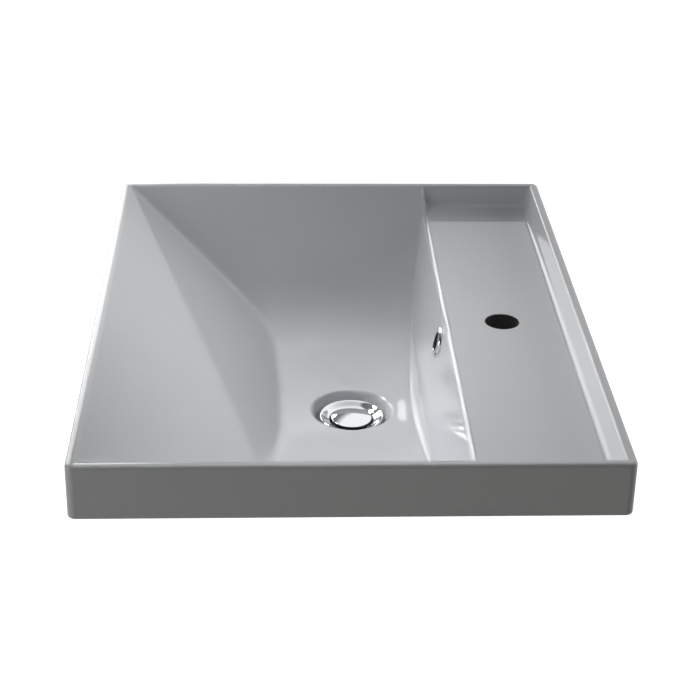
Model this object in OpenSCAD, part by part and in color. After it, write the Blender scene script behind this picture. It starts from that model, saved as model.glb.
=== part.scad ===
// Wall-hung rectangular basin with a tap deck, a sloped bowl, an overflow ring
// and a push-down waste. X runs along the wall, the wall face is y = 0, the
// basin reaches to -Y, Z is up, and z = 0 is the height of the wall fixings.

/* [Basin outline] */
// Length along the wall
basin_l = 610; // [570:1:680]
// Depth from the wall face to the front edge
basin_d = 460; // [440:1:520]
// Height of the straight apron, rim to bottom edge
apron_h = 49; // [44:1:60]
// Width of the raised rim on top
rim_t = 8.5; // [8:0.5:11]
// Thickness of the apron's walls below the rim
skirt_t = 10; // [8.5:0.5:12]
// Plan radius of the outer corners
corner_r = 7; // [5:0.5:12]
// Rounding of the rim's outer top edge
edge_r = 3; // [2:0.5:4]
// Rounding of the apron's bottom edge
foot_r = 2; // [1:0.5:3]
// General thickness of the fired clay
clay_t = 11; // [9:0.5:13]

/* [Tap deck] */
// Depth of the tap deck below the rim
deck_drop = 22; // [16:0.5:26]
// Wall face to the deck's front edge
deck_w = 129; // [120:1:140]
// Wall face to the foot of the deck's back wall, and the same at its two ends
deck_foot = 15; // [12:0.5:20]
// Rounding between the deck and the walls round it
deck_fillet = 7; // [4:0.5:9]
// Rounding of the deck's front edge
deck_lip_r = 6; // [3:0.5:8]
// Tap hole bore
tap_d = 33; // [32:0.5:36]
// Wall face to the tap hole's centre
tap_back = 73.6; // [68:0.2:80]
// Rounding of the tap hole's top edge
tap_edge_r = 2; // [1:0.5:3]

/* [Bowl] */
// Rounding where the rim's top turns into the front and end slopes
lip_r = 5; // [3:0.5:7]
// Rounding of the rim's inner edge round the tap deck
inner_lip_r = 2.5; // [1.5:0.5:3.5]
// Wall face to the line where the front slope meets the floor
floor_front = 287; // [275:1:300]
// Depth of that line below the rim
floor_drop = 112; // [104:1:113]
// Rounding between the front slope and the floor
front_foot_r = 25; // [10:1:40]
// Depth of the floor at the waste, front to back
waste_drop = 117.5; // [115:0.5:120]
// Rise of the floor behind the waste, degrees
back_rise = 4; // [2:0.5:6]
// Lean of the steep wall under the deck, degrees from upright
steep_lean = 12.8; // [8:0.2:15]
// Rounding at the foot of the steep wall
steep_foot_r = 12; // [6:1:16]
// Slope of the two ends, degrees
end_slope = 39.2; // [36:0.2:42]
// Slope of the floor along its length, degrees
floor_slope = 6.3; // [4:0.1:8]
// Depth at mid-length of the floor's long slope
floor_mid_drop = 120.5; // [118:0.5:122]
// Radius of the bend between the end slopes and the floor
end_bend_r = 150; // [100:5:170]

/* [Back and underside] */
// Distance between the two wall fixing holes
fixing_gap = 280; // [260:1:290]
// Bore of the wall fixing holes
fixing_d = 15; // [12:0.5:17]
// Rim to the height of the wall fixing holes
fixing_drop = 82; // [76:1:86]
// Rim to the bottom of the back panel
panel_drop = 112; // [106:1:118]
// Width of the back panel
panel_w = 350; // [340:1:370]
// Rounding of the underside where the ends meet the bottom
under_r = 60; // [40:5:90]
// Rounding of the panel's lower corners
panel_r = 22; // [12:1:26]

/* [Waste in the clay] */
// Wall face to the waste's centre
waste_back = 217; // [211:1:221]
// Hole for the waste
waste_hole_d = 46; // [45:0.5:48]
// Depth below the rim of the flat seat under the waste's washer
seat_drop = 133.2; // [132.6:0.1:134]
// Diameter of that flat seat
seat_d = 56; // [54:0.5:58]
// Depth below the rim where the dish round the flange turns shallower
dish_drop = 128; // [127.6:0.1:129]
// Diameter of the dish at that depth
dish_in_d = 67; // [66:0.5:69]
// Diameter of the dish at the bowl's floor
dish_d = 78; // [74:1:84]
// Thickness of the clay collar above the overflow chamber
collar_t = 10; // [8:0.5:11]
// Height of the overflow chamber
chamber_h = 14; // [12:0.5:16]
// Outer diameter of the boss round the waste hole
boss_d = 88; // [80:1:96]

/* [Overflow] */
// Rim to the overflow hole's centre
overflow_drop = 44; // [42:0.5:48]
// Overflow hole in the clay
overflow_d = 20; // [18:0.5:22]
// Inner width of the overflow channel
channel_w = 44; // [36:1:50]
// Inner depth of the overflow channel
channel_t = 12; // [10:0.5:14]
// Clay wall outside the overflow channel
channel_wall = 9; // [7:0.5:11]
// Outer diameter of the overflow ring
ring_d = 30; // [28:0.5:32]
// How far the ring stands out of the wall
ring_h = 3.6; // [3:0.2:5]
// Inner diameter of the ring
ring_bore = 16.4; // [14:0.2:16.6]

/* [Waste fitting] */
// Outer diameter of the waste's flange
flange_d = 63; // [62:0.5:65]
// Thickness of the flange at its edge
flange_t = 2; // [1.5:0.1:2.6]
// Thickness of the washer under the flange
gasket_t = 2; // [1.5:0.1:2.4]
// Major diameter of the tail's thread, G 1 1/4
tail_d = 41.9; // [41.7:0.1:42]
// Bore of the tail
tail_bore = 36.6; // [36:0.2:37.4]
// Length of the waste from the flange's top edge to its lower end
waste_l = 78; // [74:1:86]
// Chamfer at the tail's end, and depth of the groove above its end thread
tail_edge = 0.8; // [0.5:0.1:1]
// Length of the tail's end thread, which a trap's nut takes
trap_l = 17.5; // [15:0.5:18]
// Width of the groove above that thread
groove_w = 1; // [0.8:0.1:1.2]
// Diameter where the plug's seat begins in the flange
seat_mouth_d = 44; // [43:0.2:45]
// Drop from the flange's edge to the start of the plug's seat
flange_dip = 4.2; // [3.6:0.2:4.6]
// Thickness of the flange over the washer
flange_root_t = 2.5; // [2:0.1:3]
// Height of the coned plug seat
cone_h = 7.4; // [7:0.1:8]
// Width of the overflow windows in the tail
window_w = 12; // [10:1:14]
// Thickness of the bridge that carries the cartridge
bridge_t = 4; // [3:0.5:5]
// Width of each bridge arm
bridge_w = 5; // [4:0.5:7]

/* [Plug] */
// Diameter of the plug
plug_d = 39.5; // [38.5:0.5:40]
// Height of the plug's dome above its edge
dome_h = 3.6; // [3:0.2:4.2]
// Thickness of the plug at its edge
plug_edge_t = 2.8; // [2.4:0.1:3]
// Rounding of the plug's lower edge
plug_r = 0.8; // [0.4:0.1:1.2]
// Thickness of the rubber seal under the plug
seal_t = 2.5; // [2:0.1:2.8]
// Travel of the plug from closed to open
travel = 7; // [5:0.5:8]
// Drop from the plug's underside to its hub's lower end
hub_h = 6.5; // [5.5:0.5:7]
// Diameter of that hub
hub_d = 14; // [12:0.5:15]
// Diameter of the threaded stem
stem_d = 6; // [5:0.5:6]
// Length of the stem held in the plunger
stem_grip = 8; // [6:0.5:9]

/* [Cartridge] */
// Outer diameter of the cartridge
cart_d = 15.6; // [15:0.1:16]
// Drain hole in the cartridge's floor
drain_d = 3; // [2:0.5:4]
// Thickness of the cartridge's floor
cart_floor_t = 2; // [1.5:0.5:3]
// Height of the lid's skirt
lid_skirt = 2; // [1.5:0.5:3]
// Wall of the lid's skirt
lid_wall = 1; // [0.8:0.1:1.2]
// Bore of the cartridge
cart_bore = 13.2; // [12.8:0.1:13.4]
// Length of the cartridge
cart_l = 33; // [32:0.5:36]
// Lock nut on the stem across its corners
stem_nut_d = 13; // [12:0.5:14]
// Thickness of the lock nut on the stem
stem_nut_t = 4; // [3:0.5:4.5]
// Plunger's neck left clear between the lock nut and the cartridge
neck_clear = 2; // [1.5:0.5:3]
// Thickness of the cartridge's lid
lid_t = 3; // [2.5:0.5:3.5]
// Height of the plunger's head
head_t = 4; // [3.5:0.5:4.5]
// Height of the cam
cam_t = 5; // [4:0.5:5.5]
// Teeth round the ratchet
teeth = 8; // [6:1:8]
// Bore of the cam
cam_bore = 4; // [3:0.5:5]
// Height of the ratchet teeth
tooth_h = 1.4; // [1:0.1:1.6]
// Thickness of each tooth
tooth_t = 1.6; // [1.2:0.1:1.6]
// Diameter of the cartridge's collar and of the bridge's hub
collar_d = 21; // [19.5:0.5:22]
// Height of the collar
collar_h = 3; // [2:0.5:4]
// Nut under the bridge across its corners
cart_nut_d = 25; // [23:0.5:26]
// Height of the nut under the bridge
cart_nut_h = 5; // [4:0.5:6]
// Diameter of the plunger's neck
neck_d = 9; // [8.8:0.1:9.4]
// Wire of the spring
wire_d = 0.9; // [0.7:0.1:1.1]
// Mean diameter of the spring
spring_d = 9.6; // [9:0.1:10.2]
// Coils of the spring
spring_turns = 5; // [4:1:6]

/* [Tail fittings] */
// Height of the coned rubber washer below the clay
cone_base_t = 4; // [3:0.5:6]
// Height of the cone that enters the hole
cone_top_h = 5; // [3:0.5:7]
// Wall of the cone at its upper end
cone_lip = 0.8; // [0.6:0.1:1]
// Diameter of the coned washer
cone_d = 60; // [56:1:64]
// Diameter of the slip washer
slip_d = 58; // [54:1:60]
// Thickness of the slip washer
slip_t = 1.5; // [1:0.1:2]
// Height of the back nut
nut_h = 10; // [8:0.5:12]
// Diameter of the back nut's flange
nut_rim_d = 57; // [54:1:60]
// Thickness of the back nut's flange
nut_rim_t = 2; // [1.5:0.5:3]
// Back nut across its flats
nut_af = 52; // [50:1:56]

/* [Clearances] */
// Between pieces that stay together
fit_gap = 0.1; // [0.05:0.05:0.2]
// Between pieces that move past each other
run_gap = 0.3; // [0.25:0.05:0.4]

/* [Hidden] */
$fn = 72;

rim_z = fixing_drop;
over = 3;
hx = basin_l / 2 - rim_t;
k_steep = tan(steep_lean);

function zr(d) = rim_z - d;
function unit(v) = v / norm(v);

// Points of the arc of radius r that rounds the corner p, v, n in k steps
function blend(p, v, n, r, k) =
    let (u = unit(p - v), w = unit(n - v), h = acos(u * w) / 2,
         c = v + unit(u + w) * r / sin(h),
         s = v + u * r / tan(h) - c, e = v + w * r / tan(h) - c,
         a = atan2(s[1], s[0]), b = atan2(e[1], e[0]) - a,
         d = b > 180 ? b - 360 : b < -180 ? b + 360 : b)
    [for (i = [0 : k]) c + r * [cos(a + d * i / k), sin(a + d * i / k)]];

// Where the line through p at angle a meets the line through q at angle b
function meet(p, a, q, b) =
    let (u = [cos(a), sin(a)], w = [cos(b), sin(b)], d = u[0] * w[1] - u[1] * w[0])
    p + u * ((q[0] - p[0]) * w[1] - (q[1] - p[1]) * w[0]) / d;

// Y of the steep wall at a depth below the rim, moved back by off inside the clay
function steep_y(d, off = 0) =
    -deck_w - k_steep * (d - deck_drop) + off / cos(steep_lean);

front_in = [-basin_d + rim_t, rim_z];
foot_in = [-floor_front, zr(floor_drop)];
waste_pt = [-waste_back, zr(waste_drop)];
deck_edge = [-deck_w, zr(deck_drop)];
deck_back = [-deck_foot, zr(deck_drop)];
back_in = [-rim_t, rim_z];
steep_foot = meet(waste_pt, back_rise, deck_edge, 90 - steep_lean);

front_lip = blend(front_in - [1, 0], front_in, foot_in, lip_r, 4);
back_lip = blend(deck_back, back_in, back_in + [1, 0], inner_lip_r, 4);

// Section of the bowl and the deck across the basin, front to back
across = concat(
    [[front_lip[0][0], rim_z + over]],
    front_lip,
    blend(front_in, foot_in, waste_pt, front_foot_r, 6),
    [waste_pt],
    blend(waste_pt, steep_foot, deck_edge, steep_foot_r, 8),
    blend(steep_foot, deck_edge, deck_edge + [1, 0], deck_lip_r, 8),
    blend(deck_edge, deck_back, back_in, deck_fillet, 6),
    back_lip,
    [[back_lip[4][0], rim_z + over]]);

// Section of the clay under the bowl's end, from the floor out to the rim
mid_pt = [0, zr(floor_mid_drop)];
end_in = [hx, rim_z];
end_foot = meet(mid_pt, floor_slope, end_in, end_slope);
end_lip = blend(end_foot, end_in, end_in + [1, 0], lip_r, 4);
end_under = concat(
    [mid_pt],
    blend(mid_pt, end_foot, end_in, end_bend_r, 10),
    end_lip,
    [[end_lip[4][0], rim_z + 2 * over], [basin_l, rim_z + 2 * over],
     [basin_l, zr(2 * floor_mid_drop)], [0, zr(2 * floor_mid_drop)]]);

// Section of the clay outside the deck's end
dk_foot = [basin_l / 2 - deck_foot, zr(deck_drop)];
dk_start = blend(dk_foot - [1, 0], dk_foot, end_in, deck_fillet, 6);
dk_lip = blend(dk_foot, end_in, end_in + [1, 0], inner_lip_r, 4);
deck_end = concat(
    [[dk_start[0][0], zr(deck_drop + clay_t / 2)]],
    dk_start,
    dk_lip,
    [[dk_lip[4][0], rim_z + 2 * over], [basin_l, rim_z + 2 * over],
     [basin_l, zr(deck_drop + clay_t / 2)]]);

// Underside of the bowl: the same slopes moved out by the clay's thickness
under_z = zr(floor_mid_drop + clay_t);
front_off = atan2(front_in[1] - foot_in[1], foot_in[0] - front_in[0]);
front_out = front_in + clay_t * [-sin(front_off), -cos(front_off)];
front_low = meet(front_out, -front_off, [0, under_z], 0);
back_low = [steep_y(floor_mid_drop + clay_t, clay_t), under_z];
end_out = end_in + clay_t * [sin(end_slope), -cos(end_slope)];
end_low = meet(end_out, end_slope, [0, under_z], 0);
shell_top = zr(clay_t + 1);
shell_front = meet(front_out, -front_off, [0, shell_top], 0);
shell_end = meet(end_out, end_slope, [0, shell_top], 0);

// Heights of the waste, from the flange's top edge down
root_z = zr(seat_drop) + gasket_t;
seat_z = root_z + flange_root_t;
flange_z = seat_z + flange_dip;
throat_z = seat_z - cone_h;
chamber_top = zr(seat_drop + collar_t);
chamber_low = chamber_top - chamber_h;
boss_z = chamber_low - collar_t;
bridge_z = chamber_low - 0.5;
tail_end = flange_z - waste_l;
groove_z = tail_end + tail_edge + trap_l;

// Heights of the plug when it is closed
plug_low = seat_z - plug_edge_t;
seal_low = plug_low - seal_t;
hub_low = plug_low - hub_h;
neck_top = hub_low - stem_nut_t;
cart_top = neck_top - neck_clear;
head_top = cart_top - lid_t - run_gap - travel;
cam_top = head_top - head_t - run_gap;
cam_low = cam_top - cam_t;
cart_low = cart_top - cart_l;
spring_low = cart_low + cart_floor_t + fit_gap;
spring_top = cam_low - fit_gap;
spring_h = spring_top - spring_low;
gasket_r = seat_d / 2 - 1.5;
// The seal's rim stays a running gap inside the coned seat
bead_r = seal_t / 2 - fit_gap / 2;
seal_r = seat_mouth_d / 2 - (seat_z - seal_low - bead_r) / cone_h * (seat_mouth_d - tail_bore) / 2
    - 1.2 * run_gap;
boss_in_d = cart_d + 2 * fit_gap;
tooth_in = tooth_t + run_gap;

clay = [0.93, 0.94, 0.95];
steel = [0.78, 0.8, 0.82];
brass_col = [0.8, 0.68, 0.38];
rubber_col = [0.12, 0.12, 0.13];

module along_x(len) { rotate([90, 0, 90]) linear_extrude(len, center = true) children(); }
module along_y(y0, y1) {
    translate([0, y1, 0]) rotate([90, 0, 0]) linear_extrude(y1 - y0) children();
}
module at_waste() { translate([0, -waste_back, 0]) children(); }
module both_ends() { children(); mirror([1, 0, 0]) children(); }

// Rectangle with round corners, its back edge on y = 0
module plan(l, d, r, inset = 0) {
    translate([0, -inset])
    union() {
        translate([-l / 2 + inset + r, -d + 2 * inset]) square([l - 2 * inset - 2 * r, d - 2 * inset]);
        translate([-l / 2 + inset, -d + 2 * inset + r]) square([l - 2 * inset, d - 2 * inset - 2 * r]);
        for (x = [-1, 1], y = [r, d - 2 * inset - r])
            translate([x * (l / 2 - inset - r), -y]) circle(r);
    }
}

module quarter(e) { intersection() { circle(e); square(e); } }

// One layer whose outer edge is rounded over its height e
module edge_layer(l, d, r, e) {
    linear_extrude(e) plan(l, d, r - e, e);
    both_ends() {
        translate([l / 2 - e, -r, 0]) rotate([90, 0, 0]) linear_extrude(d - 2 * r) quarter(e);
        translate([l / 2 - r, -r, 0]) rotate_extrude(angle = 90)
            translate([r - e, 0]) quarter(e);
        translate([l / 2 - r, -d + r, 0]) rotate([0, 0, -90]) rotate_extrude(angle = 90)
            translate([r - e, 0]) quarter(e);
    }
    for (y = [0, 1]) translate([0, -y * d, 0]) mirror([0, y, 0])
        translate([-l / 2 + r, -e, 0]) rotate([90, 0, 90]) linear_extrude(l - 2 * r) quarter(e);
}

// Outer block of the rim and apron
module block() {
    translate([0, 0, zr(apron_h) + foot_r])
        linear_extrude(apron_h - foot_r - edge_r) plan(basin_l, basin_d, corner_r);
    translate([0, 0, rim_z - edge_r]) edge_layer(basin_l, basin_d, corner_r, edge_r);
    translate([0, 0, zr(apron_h) + foot_r]) mirror([0, 0, 1])
        edge_layer(basin_l, basin_d, corner_r, foot_r);
}

// Hollow under the rim and the deck, open below
module hollow() {
    w = basin_l - 2 * skirt_t;
    translate([-w / 2, -basin_d + skirt_t, zr(apron_h) - over])
        cube([w, basin_d - skirt_t - deck_w + 0.01, apron_h - clay_t - 1 + over]);
    translate([-w / 2, -deck_w, zr(apron_h) - over])
        cube([w, deck_w - clay_t, apron_h - deck_drop - clay_t + over]);
}

// Underside of the bowl
module shell() {
    intersection() {
        along_x(basin_l - 2) polygon(concat(
            [shell_front, [steep_y(clay_t + 1, clay_t), shell_top]],
            [back_low],
            blend(back_low, front_low, shell_front, front_foot_r + clay_t, 6)));
        along_y(-basin_d, 0) polygon(concat(
            [shell_end],
            blend(shell_end, end_low, [-end_low[0], under_z], under_r, 8),
            blend(end_low, [-end_low[0], under_z], [-shell_end[0], shell_top], under_r, 8),
            [[-shell_end[0], shell_top]]));
    }
}

// Back panel with its two side webs
module back_panel() {
    top = zr(deck_drop + clay_t) + 1;
    h = top - zr(panel_drop);
    along_y(-clay_t, 0) translate([0, zr(panel_drop)]) union() {
        translate([-panel_w / 2, panel_r]) square([panel_w, h - panel_r]);
        translate([-panel_w / 2 + panel_r, 0]) square([panel_w - 2 * panel_r, panel_r + 1]);
        for (s = [-1, 1]) translate([s * (panel_w / 2 - panel_r), panel_r]) circle(panel_r);
    }
    both_ends() translate([panel_w / 2 - clay_t / 2, 0, 0]) along_x(clay_t) polygon([
        [-clay_t / 2, top], [-clay_t / 2, zr(panel_drop) + panel_r],
        [steep_y(panel_drop - panel_r, clay_t / 2), zr(panel_drop) + panel_r],
        [steep_y(deck_drop + clay_t, clay_t / 2), top]]);
}

// Boss round the waste hole and the outside of the overflow channel
module waste_boss() {
    w = channel_w + 2 * channel_wall;
    low = rim_z - boss_z;
    out = clay_t + channel_t + channel_wall;
    at_waste() translate([0, 0, boss_z]) cylinder(h = zr(waste_drop) - boss_z, d = boss_d);
    along_x(w) polygon([
        [steep_y(deck_drop + 4, 4), zr(deck_drop + 4)],
        [steep_y(deck_drop + 4, out), zr(deck_drop + 4)],
        [steep_y(low, out), boss_z],
        [-waste_back, boss_z], [-waste_back, zr(waste_drop)],
        [steep_y(waste_drop, 4), zr(waste_drop)]]);
}

// Inside of the overflow channel, from behind the hole down to the waste hole
module channel() {
    low = rim_z - chamber_low;
    top = overflow_drop - overflow_d / 2;
    along_x(channel_w) polygon([
        [steep_y(top, clay_t), zr(top)],
        [steep_y(top, clay_t + channel_t), zr(top)],
        [steep_y(low, clay_t + channel_t), chamber_low],
        [-waste_back, chamber_low], [-waste_back, chamber_top],
        [steep_y(rim_z - chamber_top, clay_t), chamber_top]]);
}

// Frame of the overflow hole: its centre on the steep wall, axis out of it
module at_overflow() {
    translate([0, steep_y(overflow_drop), zr(overflow_drop)])
        rotate([90 - steep_lean, 0, 0]) children();
}

module basin() {
    color(clay) difference() {
        union() {
            difference() { block(); hollow(); }
            shell();
            back_panel();
            waste_boss();
        }
        difference() {
            along_x(basin_l - 1) polygon(across);
            both_ends() along_y(-basin_d - 1, -deck_w + 1) polygon(end_under);
            both_ends() along_y(-deck_w - 4, 1) polygon(deck_end);
        }
        // tap hole with a rounded top edge
        translate([0, -tap_back, zr(deck_drop)]) {
            translate([0, 0, -clay_t - 1]) cylinder(h = clay_t + 2, d = tap_d);
            rotate_extrude() translate([tap_d / 2, -tap_edge_r])
                difference() { square([tap_edge_r, tap_edge_r + 1]);
                    translate([tap_edge_r, 0]) circle(tap_edge_r); }
        }
        // wall fixing holes
        for (s = [-1, 1]) translate([s * fixing_gap / 2, 1, 0]) rotate([90, 0, 0])
            cylinder(h = clay_t + 2, d = fixing_d);
        // waste hole with its dished seat; the dish's slope carries on above the floor
        at_waste() {
            translate([0, 0, boss_z - 1]) cylinder(h = zr(waste_drop) - boss_z, d = waste_hole_d);
            translate([0, 0, zr(seat_drop)])
                cylinder(h = seat_drop - dish_drop, d1 = seat_d, d2 = dish_in_d);
            translate([0, 0, zr(dish_drop) - 0.001])
                cylinder(h = dish_drop - floor_drop, d1 = dish_in_d, d2 = dish_in_d
                    + (dish_d - dish_in_d) * (dish_drop - floor_drop) / (dish_drop - waste_drop));
        }
        channel();
        at_overflow() translate([0, 0, -clay_t - 1]) cylinder(h = 2 * clay_t, d = overflow_d);
    }
}

// Domed ring with a sleeve that enters the hole
module overflow_ring() {
    w = (ring_d - ring_bore) / 2;
    r = (w * w / 4 + ring_h * ring_h) / (2 * ring_h);
    sleeve_r = overflow_d / 2 - 1;
    color(steel) at_overflow() rotate_extrude() union() {
        translate([ring_bore / 2, fit_gap]) intersection() {
            translate([w / 2, ring_h - r]) circle(r);
            square([w, ring_h]);
        }
        translate([ring_bore / 2, -clay_t]) square([sleeve_r - ring_bore / 2, clay_t + 1]);
    }
}

module overflow_seal() {
    r0 = overflow_d / 2 - 1 + fit_gap / 2;
    r1 = overflow_d / 2 - fit_gap / 2;
    color(rubber_col) at_overflow() rotate_extrude() union() {
        translate([r0, -clay_t + 1]) square([(r1 - r0) / 2, clay_t - 2]);
        for (i = [0 : 2]) translate([r0, -clay_t * (0.82 - 0.28 * i)]) square([r1 - r0, 1]);
    }
}

// Flange, seat, tail and the bridge that carries the cartridge
module waste_body() {
    fr = flange_d / 2;
    tr = tail_d / 2;
    br = tail_bore / 2;
    color(steel) at_waste() {
        difference() {
            rotate_extrude() union() {
                polygon([
                    [br, tail_end], [tr - tail_edge, tail_end], [tr, tail_end + tail_edge],
                    [tr, groove_z], [tr - tail_edge, groove_z],
                    [tr - tail_edge, groove_z + groove_w], [tr, groove_z + groove_w],
                    [tr, root_z], [gasket_r, root_z],
                    [fr - flange_t / 2, flange_z - flange_t], [fr - flange_t / 2, flange_z],
                    [seat_mouth_d / 2 + 1, seat_z + 0.3], [seat_mouth_d / 2, seat_z],
                    [br, throat_z]]);
                translate([fr - flange_t / 2, flange_z - flange_t / 2]) circle(flange_t / 2);
            }
            // overflow windows
            for (a = [0 : 90 : 270]) rotate([0, 0, a + 45])
                translate([br - 2, -window_w / 2, chamber_low + 1])
                    cube([tr - br + 4, window_w, chamber_h - 4]);
        }
        difference() {
            union() {
                translate([0, 0, bridge_z - bridge_t]) cylinder(h = bridge_t, d = collar_d);
                for (a = [0, 120, 240]) rotate([0, 0, a + 30])
                    translate([0, -bridge_w / 2, bridge_z - bridge_t])
                        cube([br + 1, bridge_w, bridge_t]);
            }
            translate([0, 0, bridge_z - bridge_t - 1]) cylinder(h = bridge_t + 2, d = boss_in_d);
        }
    }
}

module flange_gasket() {
    color(rubber_col) at_waste() translate([0, 0, zr(seat_drop)]) difference() {
        cylinder(h = gasket_t, r = gasket_r);
        translate([0, 0, -1]) cylinder(h = gasket_t + 2, d = tail_d + 2 * fit_gap);
    }
}

module plug_cap() {
    dome_r = (plug_d * plug_d / 4 + dome_h * dome_h) / (2 * dome_h);
    color(steel) at_waste() difference() {
        union() {
            rotate_extrude() union() {
                translate([0, plug_low]) square([plug_d / 2 - plug_r, plug_edge_t]);
                translate([0, plug_low + plug_r]) square([plug_d / 2, plug_edge_t - plug_r]);
                translate([plug_d / 2 - plug_r, plug_low + plug_r]) circle(plug_r, $fn = 48);
                intersection() {
                    translate([0, seat_z + dome_h - dome_r]) circle(dome_r, $fn = 240);
                    translate([0, seat_z]) square([plug_d / 2, dome_h + 1]);
                }
            }
            translate([0, 0, hub_low]) cylinder(h = plug_low - hub_low + 1, d = hub_d);
        }
        translate([0, 0, hub_low - 1]) cylinder(h = plug_low - hub_low + 1, d = stem_d + 2 * fit_gap);
    }
}

module plug_seal() {
    color(rubber_col) at_waste() rotate_extrude() union() {
        translate([hub_d / 2 + fit_gap, seal_low + seal_t / 2])
            square([seal_r - bead_r - hub_d / 2 - fit_gap, seal_t / 2]);
        translate([hub_d / 2 + fit_gap, seal_low]) square([seal_t, seal_t]);
        translate([seal_r - bead_r, seal_low + bead_r]) circle(bead_r, $fn = 48);
    }
}

module plug_stem() {
    color(brass_col) at_waste() translate([0, 0, neck_top - stem_grip])
        cylinder(h = plug_low - neck_top + stem_grip - run_gap, d = stem_d);
}

module stem_nut() {
    color(brass_col) at_waste() translate([0, 0, neck_top]) difference() {
        cylinder(h = stem_nut_t, d = stem_nut_d, $fn = 6);
        translate([0, 0, -1]) cylinder(h = stem_nut_t + 2, d = stem_d + 2 * fit_gap);
    }
}

// Neck and head that slide in the cartridge; the head's crown turns the cam
module click_plunger() {
    hr = cart_bore / 2 - run_gap;
    color([0.9, 0.9, 0.88]) at_waste() difference() {
        union() {
            translate([0, 0, head_top - 1]) cylinder(h = neck_top - head_top + 1, d = neck_d);
            translate([0, 0, head_top - head_t + tooth_h]) cylinder(h = head_t - tooth_h, r = hr);
            for (i = [1 : teeth]) rotate([0, 0, i * 360 / teeth])
                translate([hr - tooth_in, 0, head_top - head_t]) rotate([90, 0, 90])
                    linear_extrude(tooth_t) polygon([
                        [-tooth_t, tooth_h + fit_gap], [0, 0], [tooth_t, tooth_h + fit_gap]]);
        }
        translate([0, 0, neck_top - stem_grip - fit_gap])
            cylinder(h = stem_grip + 1, d = stem_d + 2 * fit_gap);
    }
}

// Ratchet ring that a push turns by half a tooth
module click_cam() {
    cr = cart_bore / 2 - run_gap;
    color([0.35, 0.45, 0.6]) at_waste() difference() {
        union() {
            translate([0, 0, cam_low]) cylinder(h = cam_t - tooth_h, r = cr);
            for (i = [1 : teeth]) rotate([0, 0, (i + 0.5) * 360 / teeth])
                translate([cr - tooth_in, 0, cam_top]) rotate([90, 0, 90])
                    linear_extrude(tooth_t) polygon([[-tooth_t, -tooth_h - fit_gap],
                        [tooth_t, -tooth_h - fit_gap], [-tooth_t * 3 / 4, 0]]);
        }
        translate([0, 0, cam_low - 1]) cylinder(h = cam_t + 2, d = cam_bore);
    }
}

// Coil of wire: one tube along a helix, its ends inside its stated height
module click_spring() {
    sides = 8;
    steps = spring_turns * 12;
    rise = spring_h - wire_d;
    pts = [for (i = [0 : steps], j = [0 : sides - 1])
        let (a = 360 * spring_turns * i / steps, b = 360 * j / sides,
             r = spring_d / 2 + wire_d / 2 * cos(b))
        [r * cos(a), r * sin(a), spring_low + wire_d / 2 + rise * i / steps + wire_d / 2 * sin(b)]];
    walls = [for (i = [0 : steps - 1], j = [0 : sides - 1], t = [0, 1])
        let (p = i * sides + j, q = i * sides + (j + 1) % sides)
        t == 0 ? [p, q, q + sides] : [p, q + sides, p + sides]];
    ends = [[for (j = [0 : sides - 1]) sides - 1 - j], [for (j = [0 : sides - 1]) steps * sides + j]];
    color([0.6, 0.62, 0.65]) at_waste() polyhedron(pts, concat(walls, ends), convexity = 10);
}

module cartridge_body() {
    color([0.86, 0.87, 0.88]) at_waste() difference() {
        union() {
            translate([0, 0, cart_low]) cylinder(h = cart_top - lid_t - cart_low, d = cart_d);
            translate([0, 0, bridge_z]) cylinder(h = collar_h, d = collar_d);
        }
        translate([0, 0, cart_low + cart_floor_t]) cylinder(h = cart_l, d = cart_bore);
        translate([0, 0, cart_low - 1]) cylinder(h = cart_floor_t + 2, d = drain_d);
    }
}

module cartridge_cap() {
    color([0.86, 0.87, 0.88]) at_waste() difference() {
        translate([0, 0, cart_top - lid_t - lid_skirt])
            cylinder(h = lid_t + lid_skirt, d = boss_in_d + 2 * lid_wall);
        translate([0, 0, cart_top - lid_t - lid_skirt - 1]) {
            cylinder(h = lid_t + lid_skirt + 2, d = neck_d + 2 * run_gap);
            cylinder(h = lid_skirt + 1, d = boss_in_d);
        }
    }
}

module cartridge_nut() {
    color(brass_col) at_waste() translate([0, 0, bridge_z - bridge_t - cart_nut_h])
        difference() {
            cylinder(h = cart_nut_h, d = cart_nut_d, $fn = 6);
            translate([0, 0, -1]) cylinder(h = cart_nut_h + 2, d = boss_in_d);
        }
}

module cone_gasket() {
    hole_r = waste_hole_d / 2 - run_gap;
    color(rubber_col) at_waste() difference() {
        union() {
            translate([0, 0, boss_z - cone_base_t]) cylinder(h = cone_base_t, d = cone_d);
            translate([0, 0, boss_z - 1])
                cylinder(h = cone_top_h + 1, r1 = hole_r, r2 = tail_d / 2 + cone_lip);
        }
        translate([0, 0, boss_z - cone_base_t - 1])
            cylinder(h = cone_base_t + cone_top_h + 2, d = tail_d + 2 * fit_gap);
    }
}

module slip_washer() {
    color([0.9, 0.9, 0.86]) at_waste() translate([0, 0, boss_z - cone_base_t - slip_t]) difference() {
        cylinder(h = slip_t, d = slip_d);
        translate([0, 0, -1]) cylinder(h = slip_t + 2, d = tail_d + 2 * fit_gap);
    }
}

module back_nut() {
    color(brass_col) at_waste() translate([0, 0, boss_z - cone_base_t - slip_t - nut_h]) difference() {
        union() {
            translate([0, 0, nut_h - nut_rim_t]) cylinder(h = nut_rim_t, d = nut_rim_d);
            cylinder(h = nut_h, d = nut_af / cos(30), $fn = 6);
        }
        translate([0, 0, -1]) cylinder(h = nut_h + 2, d = tail_d + 2 * fit_gap);
    }
}

basin();
overflow_ring();
overflow_seal();
waste_body();
flange_gasket();
plug_cap();
plug_seal();
plug_stem();
stem_nut();
click_plunger();
click_cam();
click_spring();
cartridge_body();
cartridge_cap();
cartridge_nut();
cone_gasket();
slip_washer();
back_nut();
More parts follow.
